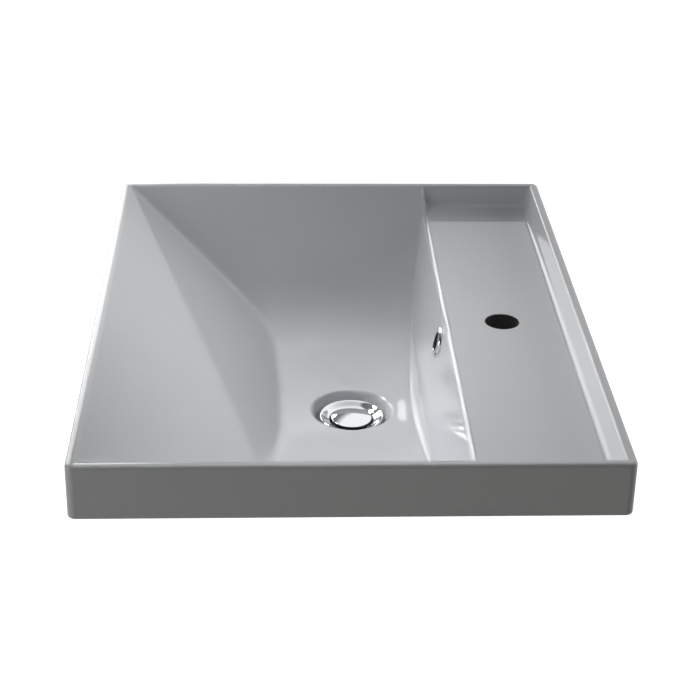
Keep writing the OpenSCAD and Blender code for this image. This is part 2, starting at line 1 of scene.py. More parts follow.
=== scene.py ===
"""Wall-hung basin: the looks of its glazed clay body, overflow ring and push-down waste.

Lengths in the classes are millimetres in the part's own frame: X along the wall, the wall
face at y = 0, the bowl towards -Y, and z = 0 at the height of the wall fixing holes.
"""

import logging
import math
from collections.abc import Callable, Iterator, Sequence
from contextlib import contextmanager
from dataclasses import dataclass, field, replace
from enum import Enum

import bmesh
import bpy
import numpy as np
from mathutils import Matrix, Vector
from mathutils.bvhtree import BVHTree


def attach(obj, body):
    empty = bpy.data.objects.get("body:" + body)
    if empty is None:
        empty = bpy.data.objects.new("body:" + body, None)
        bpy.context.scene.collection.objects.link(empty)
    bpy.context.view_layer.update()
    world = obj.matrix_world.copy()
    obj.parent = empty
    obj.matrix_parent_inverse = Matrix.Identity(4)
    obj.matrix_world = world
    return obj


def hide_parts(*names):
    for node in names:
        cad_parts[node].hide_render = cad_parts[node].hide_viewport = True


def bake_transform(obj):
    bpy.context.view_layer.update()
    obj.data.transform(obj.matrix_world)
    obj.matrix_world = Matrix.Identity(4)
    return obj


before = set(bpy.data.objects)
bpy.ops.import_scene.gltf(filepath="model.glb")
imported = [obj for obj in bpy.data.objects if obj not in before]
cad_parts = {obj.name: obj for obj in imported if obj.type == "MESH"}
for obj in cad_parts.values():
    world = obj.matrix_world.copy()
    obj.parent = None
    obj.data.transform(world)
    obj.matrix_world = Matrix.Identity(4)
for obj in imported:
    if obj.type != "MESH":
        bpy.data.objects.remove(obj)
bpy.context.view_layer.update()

MM = 0.001
Point2 = tuple[float, float]
Point3 = tuple[float, float, float]
Heights = float | np.ndarray
Socket = bpy.types.NodeSocket
log = logging.getLogger("basin")


def linear(hex_code: str) -> tuple[float, float, float, float]:
    """Turns an sRGB hex colour into Blender's linear values.

    Args:
        hex_code: Six hex digits, such as "e9ebec".

    Returns:
        Linear red, green, blue and an alpha of one.
    """
    parts = [int(hex_code[i : i + 2], 16) / 255 for i in (0, 2, 4)]
    red, green, blue = [p / 12.92 if p <= 0.04045 else ((p + 0.055) / 1.055) ** 2.4 for p in parts]
    return red, green, blue, 1.0


def add_node(tree: bpy.types.NodeTree, kind: str, inputs: dict | None = None,
             **settings) -> bpy.types.Node:
    """Adds one shader node with its settings and links.

    Args:
        tree: The material's or world's node tree.
        kind: Blender's type name of the node.
        inputs: Socket name or index, and the value or output socket it takes.
        **settings: Attributes set on the node itself.

    Returns:
        The new node.
    """
    node = tree.nodes.new(kind)
    for key, value in settings.items():
        setattr(node, key, value)
    for key, value in (inputs or {}).items():
        if isinstance(value, bpy.types.NodeSocket):
            tree.links.new(value, node.inputs[key])
        else:
            node.inputs[key].default_value = value
    return node


def maths(tree: bpy.types.NodeTree, operation: str, a: Socket | float, b: Socket | float) -> Socket:
    """Adds the sum, comparison or product of two values."""
    return add_node(tree, "ShaderNodeMath", {0: a, 1: b}, operation=operation).outputs[0]


def vectors(tree: bpy.types.NodeTree, operation: str, a: Socket, b: Socket | Sequence[float] | None,
            output: str = "Vector") -> Socket:
    """Adds one operation on a vector, or on two."""
    inputs = {0: a} if b is None else {0: a, 1: b}
    return add_node(tree, "ShaderNodeVectorMath", inputs, operation=operation).outputs[output]


def remap(tree: bpy.types.NodeTree, value: Socket, to: Point2, span: Point2 = (0.0, 1.0)) -> Socket:
    """Carries the values of span over to the values of to, and holds them at both ends."""
    return add_node(tree, "ShaderNodeMapRange", {
        "Value": value, "From Min": span[0], "From Max": span[1],
        "To Min": to[0], "To Max": to[1]}).outputs["Result"]


def noise(tree: bpy.types.NodeTree, place: Socket, size_mm: float, detail: float) -> Socket:
    """Adds noise whose pattern is size_mm wide on the real piece."""
    return add_node(tree, "ShaderNodeTexNoise", {
        "Vector": place, "Scale": 1 / (size_mm * MM), "Detail": detail}).outputs["Fac"]


def mixed(tree: bpy.types.NodeTree, share: Socket, a: Socket | str, b: Socket | str) -> Socket:
    """Adds a mix of two colours, each of them a socket or an sRGB hex code."""
    a, b = (linear(c) if isinstance(c, str) else c for c in (a, b))
    mix = add_node(tree, "ShaderNodeMix", {"Factor": share, "A": a, "B": b}, data_type="RGBA")
    return mix.outputs["Result"]


def relief(tree: bpy.types.NodeTree, height: Socket, strength: float, depth_mm: float,
           under: Socket | None = None) -> Socket:
    """Adds a bump of a real depth, over another one where there is one."""
    inputs = {"Height": height, "Strength": strength, "Distance": depth_mm * MM}
    if under is not None:
        inputs["Normal"] = under
    return add_node(tree, "ShaderNodeBump", inputs).outputs["Normal"]


def ease(share: Heights) -> Heights:
    """Turns a share from 0 to 1 into one that starts and ends level."""
    return share * share * (3 - 2 * share)


def smooth_max(a: Heights, b: Heights, soft: Heights) -> Heights:
    """Upper of two heights, with the crease rounded where they differ by less than soft."""
    near = np.clip(1 - np.abs(a - b) / np.maximum(soft, 1e-6), 0, 1)
    return np.maximum(a, b) + near**2 * soft / 4


def smooth_min(a: Heights, b: Heights, soft: Heights) -> Heights:
    """Lower of two heights, with the edge rounded where they differ by less than soft."""
    return -smooth_max(-a, -b, soft)


def round_corner(before: Point2, corner: Point2, after: Point2, radius: float,
                 steps: int) -> list[Point2]:
    """Points of the arc that rounds one corner of an outline.

    Args:
        before: A point on the line that comes into the corner.
        corner: The corner itself.
        after: A point on the line that leaves the corner.
        radius: Radius of the arc.
        steps: Number of chords along the arc.

    Returns:
        steps + 1 points from one tangent point to the other.
    """
    c = np.array(corner, float)
    u, w = (np.array(p, float) - c for p in (before, after))
    u, w = u / np.linalg.norm(u), w / np.linalg.norm(w)
    half = math.acos(float(np.clip(u @ w, -1, 1))) / 2
    centre = c + (u + w) / np.linalg.norm(u + w) * radius / math.sin(half)
    reach = radius / math.tan(half)
    start, end = c + u * reach - centre, c + w * reach - centre
    turn = math.atan2(start[0] * end[1] - start[1] * end[0], float(start @ end))
    first = math.atan2(start[1], start[0])
    arc = [first + turn * i / steps for i in range(steps + 1)]
    return [(float(centre[0] + radius * math.cos(a)), float(centre[1] + radius * math.sin(a)))
            for a in arc]


def run(start: Point2, end: Point2, parts: int) -> list[Point2]:
    """Points that divide a straight stretch into equal parts, without its two ends."""
    return [
        (start[0] + (end[0] - start[0]) * i / parts, start[1] + (end[1] - start[1]) * i / parts)
        for i in range(1, parts)
    ]


def meet(p: Point2, slope_p: float, q: Point2, slope_q: float) -> Point2:
    """Where the line through p with one slope meets the line through q with another."""
    x = (q[1] - p[1] + slope_p * p[0] - slope_q * q[0]) / (slope_p - slope_q)
    return x, p[1] + slope_p * (x - p[0])


def only(piece: bpy.types.Object) -> None:
    """Selects one piece alone and makes it the active one."""
    bpy.ops.object.select_all(action="DESELECT")
    piece.select_set(True)
    bpy.context.view_layer.objects.active = piece


@contextmanager
def editing(piece: bpy.types.Object) -> Iterator[None]:
    """Opens one piece alone in edit mode, with nothing selected, and closes it again."""
    only(piece)
    bpy.ops.object.mode_set(mode="EDIT")
    bpy.ops.mesh.select_all(action="DESELECT")
    yield
    bpy.ops.object.mode_set(mode="OBJECT")


def face_out() -> None:
    """Selects all of the edited piece and turns its faces outward."""
    bpy.ops.mesh.select_all(action="SELECT")
    bpy.ops.mesh.normals_make_consistent(inside=False)


def pick(piece: bpy.types.Object, kind: str, wanted: Callable) -> None:
    """Selects just the edges or faces of the edited piece that wanted accepts.

    Args:
        piece: The object that is in edit mode.
        kind: "edges" or "faces".
        wanted: Takes one element and says whether it is selected.
    """
    mesh = bmesh.from_edit_mesh(piece.data)
    bpy.context.tool_settings.mesh_select_mode = (False, kind == "edges", kind == "faces")
    bpy.ops.mesh.select_all(action="DESELECT")
    for element in [e for e in getattr(mesh, kind) if wanted(e)]:
        element.select_set(True)
    mesh.select_flush_mode()
    bmesh.update_edit_mesh(piece.data)


def apply_modifier(piece: bpy.types.Object, kind: str, **settings) -> None:
    """Adds one modifier with its settings and applies it."""
    only(piece)
    modifier = piece.modifiers.new(kind.lower(), kind)
    for key, value in settings.items():
        setattr(modifier, key, value)
    bpy.ops.object.modifier_apply(modifier=modifier.name)


def combine(piece: bpy.types.Object, tool: bpy.types.Object, way: str = "DIFFERENCE") -> None:
    """Cuts a piece with a tool, or joins or crosses the two; the tool is gone afterwards."""
    apply_modifier(piece, "BOOLEAN", operation=way, object=tool, solver="EXACT")
    bpy.data.objects.remove(tool)


def shade_smooth(piece: bpy.types.Object) -> None:
    """Shades a piece smooth, with the large flat faces keeping their own direction."""
    only(piece)
    bpy.ops.object.shade_smooth()
    apply_modifier(piece, "WEIGHTED_NORMAL", mode="FACE_AREA_WITH_ANGLE", weight=50)


def join(parts: Sequence[bpy.types.Object], name: str) -> bpy.types.Object:
    """Joins several objects into the first and names it."""
    only(parts[0])
    for part in parts:
        part.select_set(True)
    bpy.ops.object.join()
    parts[0].name = parts[0].data.name = name
    return parts[0]


def added(add: Callable, **settings) -> bpy.types.Object:
    """Adds one of Blender's basic meshes and puts its place and turn into the mesh.

    Args:
        add: The operator that adds it.
        **settings: What the operator takes.

    Returns:
        The mesh's object, which sits unturned and unscaled at the origin.
    """
    bpy.ops.object.select_all(action="DESELECT")
    add(**settings)
    bpy.ops.object.transform_apply(location=True, rotation=True, scale=True)
    return bpy.context.active_object


def box(low: Sequence[float], high: Sequence[float]) -> bpy.types.Object:
    """Adds a box between two corners, given in millimetres."""
    return added(bpy.ops.mesh.primitive_cube_add, size=1,
                 location=[(a + b) / 2 * MM for a, b in zip(low, high)],
                 scale=[(b - a) * MM for a, b in zip(low, high)])


def from_points(name: str, points: Sequence[Point3], edges: Sequence[tuple[int, int]],
                faces: Sequence[tuple[int, ...]]) -> bpy.types.Object:
    """Makes a piece from points in metres and the edges or faces between them."""
    mesh = bpy.data.meshes.new(name)
    mesh.from_pydata(points, edges, faces)
    piece = bpy.data.objects.new(name, mesh)
    bpy.context.scene.collection.objects.link(piece)
    return piece


def spun(name: str, outline: Sequence[Point2], steps: int, place: Matrix) -> bpy.types.Object:
    """Turns an outline round its own Z axis into a closed ring or disc.

    Args:
        name: Name of the piece.
        outline: Radius and height of each point, in millimetres; the outline is closed.
        steps: Number of segments round the axis.
        place: Where the outline's own axes lie in the part's frame.

    Returns:
        The turned piece.
    """
    count = len(outline)
    piece = from_points(name, [(r * MM, 0.0, z * MM) for r, z in outline],
                        [(i, (i + 1) % count) for i in range(count)], [])
    with editing(piece):
        bpy.ops.mesh.select_all(action="SELECT")
        bpy.ops.mesh.spin(steps=steps, angle=2 * math.pi, center=(0, 0, 0), axis=(0, 0, 1))
        bpy.ops.mesh.select_all(action="SELECT")
        bpy.ops.mesh.remove_doubles(threshold=0.002 * MM)
        bpy.ops.mesh.delete_loose()
        face_out()
    piece.data.transform(place)
    shade_smooth(piece)
    return piece


class Slot(Enum):
    """Material slots of the record."""

    CERAMIC = "ceramic"
    CHROME = "chrome"
    BRASS = "brass"
    RUBBER = "rubber"
    WASHER = "washer_plastic"
    CARTRIDGE = "cartridge_plastic"
    PLUNGER = "plunger_plastic"
    CAM = "cam_plastic"
    WIRE = "spring_wire"


def open_material(name: str) -> tuple[bpy.types.Material, bpy.types.NodeTree, Socket]:
    """Makes an empty material.

    Args:
        name: Name of the material.

    Returns:
        The material, its nodes and the place on the piece in the part's frame.
    """
    material = bpy.data.materials.new(name)
    material.use_nodes = True
    tree = material.node_tree
    tree.nodes.clear()
    return material, tree, add_node(tree, "ShaderNodeTexCoord").outputs["Object"]


def close_material(material: bpy.types.Material, inputs: dict) -> bpy.types.Material:
    """Adds the shader with its inputs and joins it to the output."""
    shader = add_node(material.node_tree, "ShaderNodeBsdfPrincipled", inputs)
    add_node(material.node_tree, "ShaderNodeOutputMaterial", {"Surface": shader.outputs["BSDF"]})
    return material


@dataclass(frozen=True)
class GlazedClay:
    """Vitreous china, slip cast, sprayed with white glaze and fired.

    The glaze is a smooth glassy coat that varies slightly in tone and stands in very long,
    low waves with a fine peel, so reflections in it bend a little. The face that meets the
    wall is ground bare, and the bore of the tap hole is left bare with painted shade: a
    near-black colour stands in for the shadow inside it. Reliefs hold a bump's strength
    and its depth in millimetres.
    """

    glaze: str = "e5e7ea"
    thick_glaze: str = "e1e4e7"
    bare: str = "ddd6c9"
    # Painted shade: the tap hole's bore is coloured near black for the shadow inside it.
    bore: str = "3b3b3d"
    roughness: float = 0.07
    bare_roughness: float = 0.75
    ior: float = 1.52
    wave_mm: float = 55.0
    wave_relief: Point2 = (0.12, 0.6)
    peel_mm: float = 7.0
    peel_relief: Point2 = (0.05, 0.15)
    wall_skin_mm: float = 0.35
    tap_y_mm: float = -73.6
    bore_r_mm: float = 16.9
    bore_top_mm: float = 59.6

    def make(self) -> bpy.types.Material:
        """Builds the material."""
        material, tree, place = open_material("glazed_vitreous_china")
        cloud = noise(tree, place, self.wave_mm, 2.0)
        tone = mixed(tree, cloud, self.glaze, self.thick_glaze)
        axes = add_node(tree, "ShaderNodeSeparateXYZ", {"Vector": place}).outputs
        skin = self.wall_skin_mm * MM
        bare = remap(tree, axes["Y"], (0.0, 1.0), (-skin, -skin / 2))
        coat = mixed(tree, bare, tone, self.bare)
        flat = add_node(tree, "ShaderNodeCombineXYZ", {"X": axes["X"], "Y": axes["Y"]}).outputs[0]
        away = vectors(tree, "DISTANCE", flat, (0, self.tap_y_mm * MM, 0), "Value")
        # Painted shade: in the tap hole's bore, below its top, the colour turns near black for the
        # shadow there; the clay there is also left bare and rough.
        bare_bore_painted_shade = maths(tree, "MULTIPLY", maths(tree, "LESS_THAN", away, self.bore_r_mm * MM),
                      maths(tree, "LESS_THAN", axes["Z"], self.bore_top_mm * MM))
        dry = maths(tree, "MAXIMUM", bare, bare_bore_painted_shade)
        waves = relief(tree, cloud, *self.wave_relief)
        return close_material(material, {
            "Base Color": mixed(tree, bare_bore_painted_shade, coat, self.bore),
            "Roughness": remap(tree, dry, (self.roughness, self.bare_roughness)),
            "IOR": self.ior,
            "Normal": relief(tree, noise(tree, place, self.peel_mm, 1.0), *self.peel_relief, waves)})


@dataclass(frozen=True)
class PaintedShadeHollow:
    """Painted shade inside a round opening, given by a place on its axis, the axis, its radius and its
    top.
    """

    place: Point3
    axis: Point3
    radius: float
    top: float
    # Painted shade: a near-black, matt colour for the shadow inside the opening.
    colour: str = "1f1f21"
    roughness: float = 0.6

    def mask(self, tree: bpy.types.NodeTree, place: Socket) -> Socket:
        """Adds the nodes that tell the opening's inside from the rest.

        Args:
            tree: The material's nodes.
            place: Place on the surface.

        Returns:
            A socket that is 1 inside and 0 elsewhere.
        """
        away = vectors(tree, "SUBTRACT", place, [c * MM for c in self.place])
        aside = vectors(tree, "CROSS_PRODUCT", away, self.axis)
        off = vectors(tree, "LENGTH", aside, None, "Value")
        up = vectors(tree, "DOT_PRODUCT", away, self.axis, "Value")
        return maths(tree, "MULTIPLY", maths(tree, "LESS_THAN", off, self.radius * MM),
                     maths(tree, "LESS_THAN", up, self.top * MM))


@dataclass(frozen=True)
class Metal:
    """A metal with a worked surface: a base colour, its polish and the marks of its working."""

    name: str
    colour: str
    roughness: float
    mark_mm: float
    mark_depth_mm: float
    mark_stretch: Point3 = (1.0, 1.0, 1.0)
    mark_strength: float = 0.3
    sheen_change: float = 0.4
    painted_shade_inside: PaintedShadeHollow | None = None

    def make(self) -> bpy.types.Material:
        """Builds the material."""
        material, tree, place = open_material(self.name)
        along = add_node(tree, "ShaderNodeMapping", {"Vector": place, "Scale": self.mark_stretch})
        marks = noise(tree, along.outputs["Vector"], self.mark_mm, 3.0)
        colour, metallic = linear(self.colour), 1.0
        rough = remap(tree, marks, (self.roughness * (1 - self.sheen_change),
                                    self.roughness * (1 + self.sheen_change)))
        # Painted shade: inside the opening the metal turns dark, matt and not metallic, for the shadow
        # there.
        if self.painted_shade_inside:
            inside = self.painted_shade_inside.mask(tree, place)
            colour = mixed(tree, inside, self.colour, self.painted_shade_inside.colour)
            metallic = maths(tree, "SUBTRACT", 1.0, inside)
            rough = add_node(tree, "ShaderNodeMix", {
                "Factor": inside, "A": rough, "B": self.painted_shade_inside.roughness}).outputs["Result"]
        return close_material(material, {
            "Base Color": colour, "Metallic": metallic, "Roughness": rough,
            "Normal": relief(tree, marks, self.mark_strength, self.mark_depth_mm)})


@dataclass(frozen=True)
class Moulded:
    """A moulded plastic or rubber: two near colours mottled together over a fine grain."""

    name: str
    colour: str
    mottle: str
    roughness: float
    ior: float
    grain_mm: float = 0.8
    mottle_mm: float = 9.6
    grain_relief: Point2 = (0.4, 0.03)
    sheen_change: float = 0.15

    def make(self) -> bpy.types.Material:
        """Builds the material."""
        material, tree, place = open_material(self.name)
        grain = noise(tree, place, self.grain_mm, 2.0)
        cloud = noise(tree, place, self.mottle_mm, 2.0)
        return close_material(material, {
            "Base Color": mixed(tree, cloud, self.colour, self.mottle),
            "Roughness": remap(tree, grain, (self.roughness * (1 - self.sheen_change),
                                             self.roughness * (1 + self.sheen_change))),
            "IOR": self.ior, "Normal": relief(tree, grain, *self.grain_relief)})


# Bright chrome over nickel on brass, polished, with only long faint waves.
CHROME = Metal("polished_chrome_plate", "f0f2f4", 0.06, 18.0, 0.02)


def finishes() -> dict[Slot, bpy.types.Material]:
    """Makes every finish once.

    Returns:
        The material of each slot.
    """
    turned = (1.0, 1.0, 12.0)
    return {
        Slot.CERAMIC: GlazedClay().make(),
        Slot.CHROME: CHROME.make(),
        # Plain brass from the lathe: its fine marks run round the upright axis.
        Slot.BRASS: Metal("turned_brass", "c9a45c", 0.28, 2.0, 0.03, turned).make(),
        # Stainless spring wire with the fine lines of drawing.
        Slot.WIRE: Metal("drawn_spring_steel", "b8bbbf", 0.3, 0.6, 0.01).make(),
        # Black sealing rubber, matt from its mould.
        Slot.RUBBER: Moulded("black_epdm_rubber", "1b1b1d", "262628", 0.62, 1.5).make(),
        # The waxy off-white plastic of slip washers.
        Slot.WASHER: Moulded("white_polyethylene", "e6e5dc", "dedcd2", 0.42, 1.5).make(),
        # Hard slippery plastic: grey for the housing, natural for the plunger, blue for the cam.
        Slot.CARTRIDGE: Moulded("grey_acetal", "d5d7da", "cbced2", 0.35, 1.48).make(),
        Slot.PLUNGER: Moulded("natural_acetal", "e4e3dd", "dad8d0", 0.35, 1.48).make(),
        Slot.CAM: Moulded("blue_acetal", "5f7ea8", "557398", 0.35, 1.48).make(),
    }


def dress(piece: bpy.types.Object, material: bpy.types.Material, slot: Slot) -> None:
    """Gives a piece one material."""
    piece.data.materials.clear()
    piece.data.materials.append(material)


@dataclass(frozen=True)
class Ring:
    """One step of the rings that close a square gap in the skin down to a round hole.

    share is how far the ring goes from the last one towards its radius; sink is how far
    below the surface it lies.
    """

    radius: float
    sink: float = 0.0
    share: float = 1.0


@dataclass
class ClayTop:
    """Glazed skin of the bowl, tap deck and rim: one fine grid pressed to the basin's form."""

    length: float = 610.0
    depth: float = 460.0
    rim_z: float = 82.0
    apron: float = 49.0
    rim: float = 8.5
    corner_r: float = 7.0
    edge_r: float = 3.0
    foot_r: float = 2.0
    foot_band: float = 3.4
    foot_turn: float = 0.9
    deck_drop: float = 22.0
    deck_w: float = 129.0
    deck_foot: float = 15.0
    deck_fillet: float = 7.0
    deck_lip_r: float = 6.0
    deck_t: float = 11.0
    deck_blend: Point2 = (1.5, 6.0)
    tap_r: float = 16.5
    tap_y: float = -73.6
    tap_edge_r: float = 0.6
    tap_boss: float = 7.0
    tap_boss_w: float = 6.0
    lip_r: float = 9.0
    inner_lip_r: float = 2.5
    floor_front: float = 287.0
    floor_drop: float = 112.0
    floor_soft: float = 1.5
    front_foot_r: float = 25.0
    waste_y: float = -217.0
    waste_drop: float = 117.5
    dish_r: float = 39.0
    dish_in_r: float = 33.5
    dish_drop: float = 128.0
    dish_soft: Point2 = (1.0, 6.0)
    seat_r: float = 28.0
    seat_drop: float = 133.2
    back_rise: float = 4.0
    steep_lean: float = 12.8
    steep_foot_r: float = 12.0
    end_slope: float = 39.2
    floor_slope: float = 6.3
    floor_mid_drop: float = 120.5
    end_bend_r: float = 150.0
    overflow_drop: float = 44.0
    overflow_r: float = 10.0
    crease_soft: float = 5.0
    drain_dip: float = 3.4
    drain_reach: Point2 = (38.0, 112.0)
    cell: float = 13 / 3
    waste_cells: int = 12
    tap_cells: int = 7
    overflow_cells: int = 4
    slope_step: float = 4.5
    row_edge: float = 0.6
    column_edge: float = 1.8
    fillet_steps: int = 9

    def __post_init__(self) -> None:
        """Works out the corners of the basin's sections."""
        deck_z = self.rim_z - self.deck_drop
        self.front_in = (-self.depth + self.rim, self.rim_z)
        self.foot = (-self.floor_front, self.rim_z - self.floor_drop)
        self.waste = (self.waste_y, self.rim_z - self.waste_drop)
        self.deck_edge = (-self.deck_w, deck_z)
        self.deck_back = (-self.deck_foot, deck_z)
        self.back_in = (-self.rim, self.rim_z)
        self.steep_slope = 1 / math.tan(math.radians(self.steep_lean))
        self.steep_foot = meet(self.waste, math.tan(math.radians(self.back_rise)),
                               self.deck_edge, self.steep_slope)
        middle, flat = (0.0, self.rim_z - self.floor_mid_drop), (self.length / 2, self.rim_z)
        end_in = (self.length / 2 - self.rim, self.rim_z)
        self.end_foot = meet(middle, math.tan(math.radians(self.floor_slope)),
                             end_in, math.tan(math.radians(self.end_slope)))
        deck_end_foot = (self.length / 2 - self.deck_foot, deck_z)
        bowl_end = [middle, *round_corner(middle, self.end_foot, end_in, self.end_bend_r, 40),
                    *round_corner(self.end_foot, end_in, flat, self.lip_r, 16), flat]
        self.deck_end = [
            *round_corner((0, deck_z), deck_end_foot, end_in, self.deck_fillet, self.fillet_steps),
            *round_corner(deck_end_foot, end_in, flat, self.inner_lip_r, 8)]
        self.bowl_end_x, self.bowl_end_z = np.array(bowl_end).T
        self.deck_end_x, self.deck_end_z = np.array([(0.0, deck_z), *self.deck_end, flat]).T
        self.row_points = self.rows()
        self.row_y, self.row_z = np.array(self.row_points).T
        self.column_x = self.columns()

    def rows(self) -> list[Point2]:
        """Y and height of every row of the grid in the basin's middle plane, front to back."""
        lip = round_corner((-self.depth, self.rim_z), self.front_in, self.foot, self.lip_r, 7)
        front_foot = round_corner(self.front_in, self.foot, self.waste, self.front_foot_r, 8)
        floor = [self.on_floor(self.waste_y + i * self.cell)
                 for i in range(-self.waste_cells, self.waste_cells + 1)]
        steep_foot = round_corner(self.waste, self.steep_foot, self.deck_edge, self.steep_foot_r, 12)
        deck_lip = round_corner(self.steep_foot, self.deck_edge, (0, self.deck_edge[1]),
                                self.deck_lip_r, 10)
        ring_low = self.on_steep(2 * (self.rim_z - self.overflow_drop) - deck_lip[0][1])
        tap_low, tap_high = ((self.tap_y + side * self.tap_cells * self.cell, self.deck_edge[1])
                             for side in (-1, 1))
        fillet = round_corner(self.deck_edge, self.deck_back, self.back_in,
                              self.deck_fillet, self.fillet_steps)
        back_lip = round_corner(self.deck_back, self.back_in, (0, self.rim_z), self.inner_lip_r, 8)
        slope_parts = round(math.dist(lip[-1], front_foot[0]) / self.slope_step)
        return [
            (lip[0][0] - self.row_edge, self.rim_z), *lip,
            *run(lip[-1], front_foot[0], slope_parts), *front_foot,
            *run(front_foot[-1], floor[0], 3), *floor,
            *run(floor[-1], steep_foot[0], 2), *steep_foot,
            *run(steep_foot[-1], ring_low, 10), ring_low,
            *run(ring_low, deck_lip[0], 2 * self.overflow_cells), *deck_lip,
            *run(deck_lip[-1], tap_low, 5), tap_low,
            *run(tap_low, tap_high, 2 * self.tap_cells), tap_high,
            *run(tap_high, fillet[0], 5), *fillet,
            *run(fillet[-1], back_lip[0], 5), *back_lip,
            (back_lip[-1][0] + self.row_edge, self.rim_z),
        ]

    def columns(self) -> np.ndarray:
        """X of every column of the grid, from one end of the basin to the other."""
        bend = self.end_bend_r * math.tan(math.radians(self.end_slope - self.floor_slope) / 2)
        bend_low = self.end_foot[0] - bend * math.cos(math.radians(self.floor_slope))
        bend_high = self.end_foot[0] + bend * math.cos(math.radians(self.end_slope))
        stops = [self.waste_cells * self.cell, bend_low, bend_high, self.deck_end[0][0]]
        half = [i * self.cell for i in range(self.waste_cells + 1)]
        for low, high in zip(stops, stops[1:]):
            parts = round((high - low) / self.slope_step)
            half += [low + (high - low) * i / parts for i in range(1, parts + 1)]
        fillet, lip = self.deck_end[1:self.fillet_steps + 1], self.deck_end[self.fillet_steps + 1:]
        half += [x for x, _ in fillet + run(fillet[-1], lip[0], 5) + lip]
        half.append(half[-1] + self.column_edge)
        return np.array([-x for x in reversed(half[1:])] + half)

    def on_floor(self, y: float) -> Point2:
        """Y and height of the floor's section at y, its bend at the waste softened."""
        front = self.foot[1] + (self.waste[1] - self.foot[1]) * (y - self.foot[0]) / (
            self.waste[0] - self.foot[0])
        back = self.waste[1] + math.tan(math.radians(self.back_rise)) * (y - self.waste[0])
        return y, float(smooth_max(front, back, self.floor_soft))

    def on_steep(self, z: float) -> Point2:
        """Y and height of the steep wall at height z."""
        return self.deck_edge[0] + (z - self.deck_edge[1]) / self.steep_slope, z

    def deck_share(self, y: np.ndarray) -> np.ndarray:
        """How far a row belongs to the deck, from 0 before its front edge to 1 behind it."""
        before, width = self.deck_blend
        return ease(np.clip((y - self.deck_edge[0] + before) / width, 0, 1))

    def end_height(self, x: np.ndarray, y: np.ndarray) -> np.ndarray:
        """Height of the basin's end form over x: the bowl's slope, or the deck's end wall behind."""
        bowl = np.interp(np.abs(x), self.bowl_end_x, self.bowl_end_z)
        deck = np.interp(np.abs(x), self.deck_end_x, self.deck_end_z)
        return bowl + (deck - bowl) * self.deck_share(y)

    def press(self, x: np.ndarray, y: np.ndarray, section_z: np.ndarray) -> np.ndarray:
        """Height of the skin where the long section and the end form meet in a soft crease.

        Args:
            x: X of each point.
            y: Y of each point.
            section_z: Height of the section in the middle plane at each point.

        Returns:
            The height of each point.
        """
        end = self.end_height(x, y)
        above = np.minimum(section_z, end) - (self.rim_z - self.deck_drop)
        on_deck = np.clip(above, 0, self.crease_soft)
        soft = self.crease_soft + (on_deck - self.crease_soft) * self.deck_share(y)
        room = self.rim_z - np.maximum(section_z, end)
        high = np.minimum(smooth_max(section_z, end, np.minimum(soft, 1.2 * room)), self.rim_z)
        near, far = self.drain_reach
        away = np.clip((far - np.hypot(x, y - self.waste_y)) / (far - near), 0, 1)
        wall_foot = self.steep_foot[0]
        wall = np.clip((wall_foot - 1 - y) / (wall_foot - self.waste_y - near), 0, 1)
        return high - self.drain_dip * ease(away) * ease(wall)

    def height(self, x: float, y: float) -> float:
        """Height of the floor or deck at one place, for the rings round the holes."""
        section = np.interp(y, self.row_y, self.row_z)
        return float(self.press(np.array(x), np.array(y), np.array(section)))

    def dish(self, u: float, v: float, _sink: float) -> Vector:
        """Place on the dished seat round the waste, u and v from the waste's centre."""
        r, low = math.hypot(u, v), self.rim_z - self.seat_drop
        steep = self.rim_z - self.dish_drop + (r - self.dish_in_r) * (
            self.dish_drop - self.waste_drop) / (self.dish_r - self.dish_in_r)
        seat = low + (r - self.seat_r) * (
            self.seat_drop - self.dish_drop) / (self.dish_in_r - self.seat_r)
        fold, brim = self.dish_soft
        cone = smooth_max(steep, seat, fold)
        bottom = max(float(smooth_min(cone, self.height(u, self.waste_y + v), brim)), low)
        return Vector((u, self.waste_y + v, bottom)) * MM

    def deck_place(self, u: float, v: float, sink: float) -> Vector:
        """Place on the deck or below it, u and v from the tap hole's centre."""
        return Vector((u, self.tap_y + v, self.rim_z - self.deck_drop - sink)) * MM

    def steep_place(self, u: float, v: float, sink: float) -> Vector:
        """Place on the steep wall or inside it, u and v from the overflow's centre."""
        lean = math.radians(self.steep_lean)
        y, z = self.on_steep(self.rim_z - self.overflow_drop)
        return Vector((u, y + v * math.sin(lean) + sink * math.cos(lean),
                       z + v * math.cos(lean) - sink * math.sin(lean))) * MM

    def make_grid(self) -> bpy.types.Object:
        """Adds the grid and presses its rows and columns to the basin's form."""
        across, along = len(self.column_x), len(self.row_points)
        bpy.ops.mesh.primitive_grid_add(x_subdivisions=across - 1, y_subdivisions=along - 1, size=2)
        piece = bpy.context.active_object
        place = np.zeros(len(piece.data.vertices) * 3)
        piece.data.vertices.foreach_get("co", place)
        place = place.reshape(-1, 3)
        column = np.rint((place[:, 0] + 1) / 2 * (across - 1)).astype(int)
        row = np.rint((place[:, 1] + 1) / 2 * (along - 1)).astype(int)
        x, y, z = self.column_x[column], self.row_y[row], self.row_z[row]
        place = np.stack([x, y, self.press(x, y, z)], axis=1) * MM
        piece.data.vertices.foreach_set("co", place.ravel())
        piece.data.update()
        return piece

    def sink_hole(self, piece: bpy.types.Object, half: Point2, local: Callable[[Vector], Point2],
                  place: Callable[[float, float, float], Vector], rings: Sequence[Ring]) -> None:
        """Takes a square out of the grid and runs rings from its edge down into a round hole.

        Args:
            piece: The grid.
            half: Half the square's sides.
            local: Turns a point of the mesh into distances from the hole's centre.
            place: Turns such distances and a depth back into a point.
            rings: The rings, from the square inwards.
        """
        slack = 0.3

        def inside(point: Vector, margin: float) -> bool:
            u, v = local(point)
            return abs(u) < half[0] + margin and abs(v) < half[1] + margin

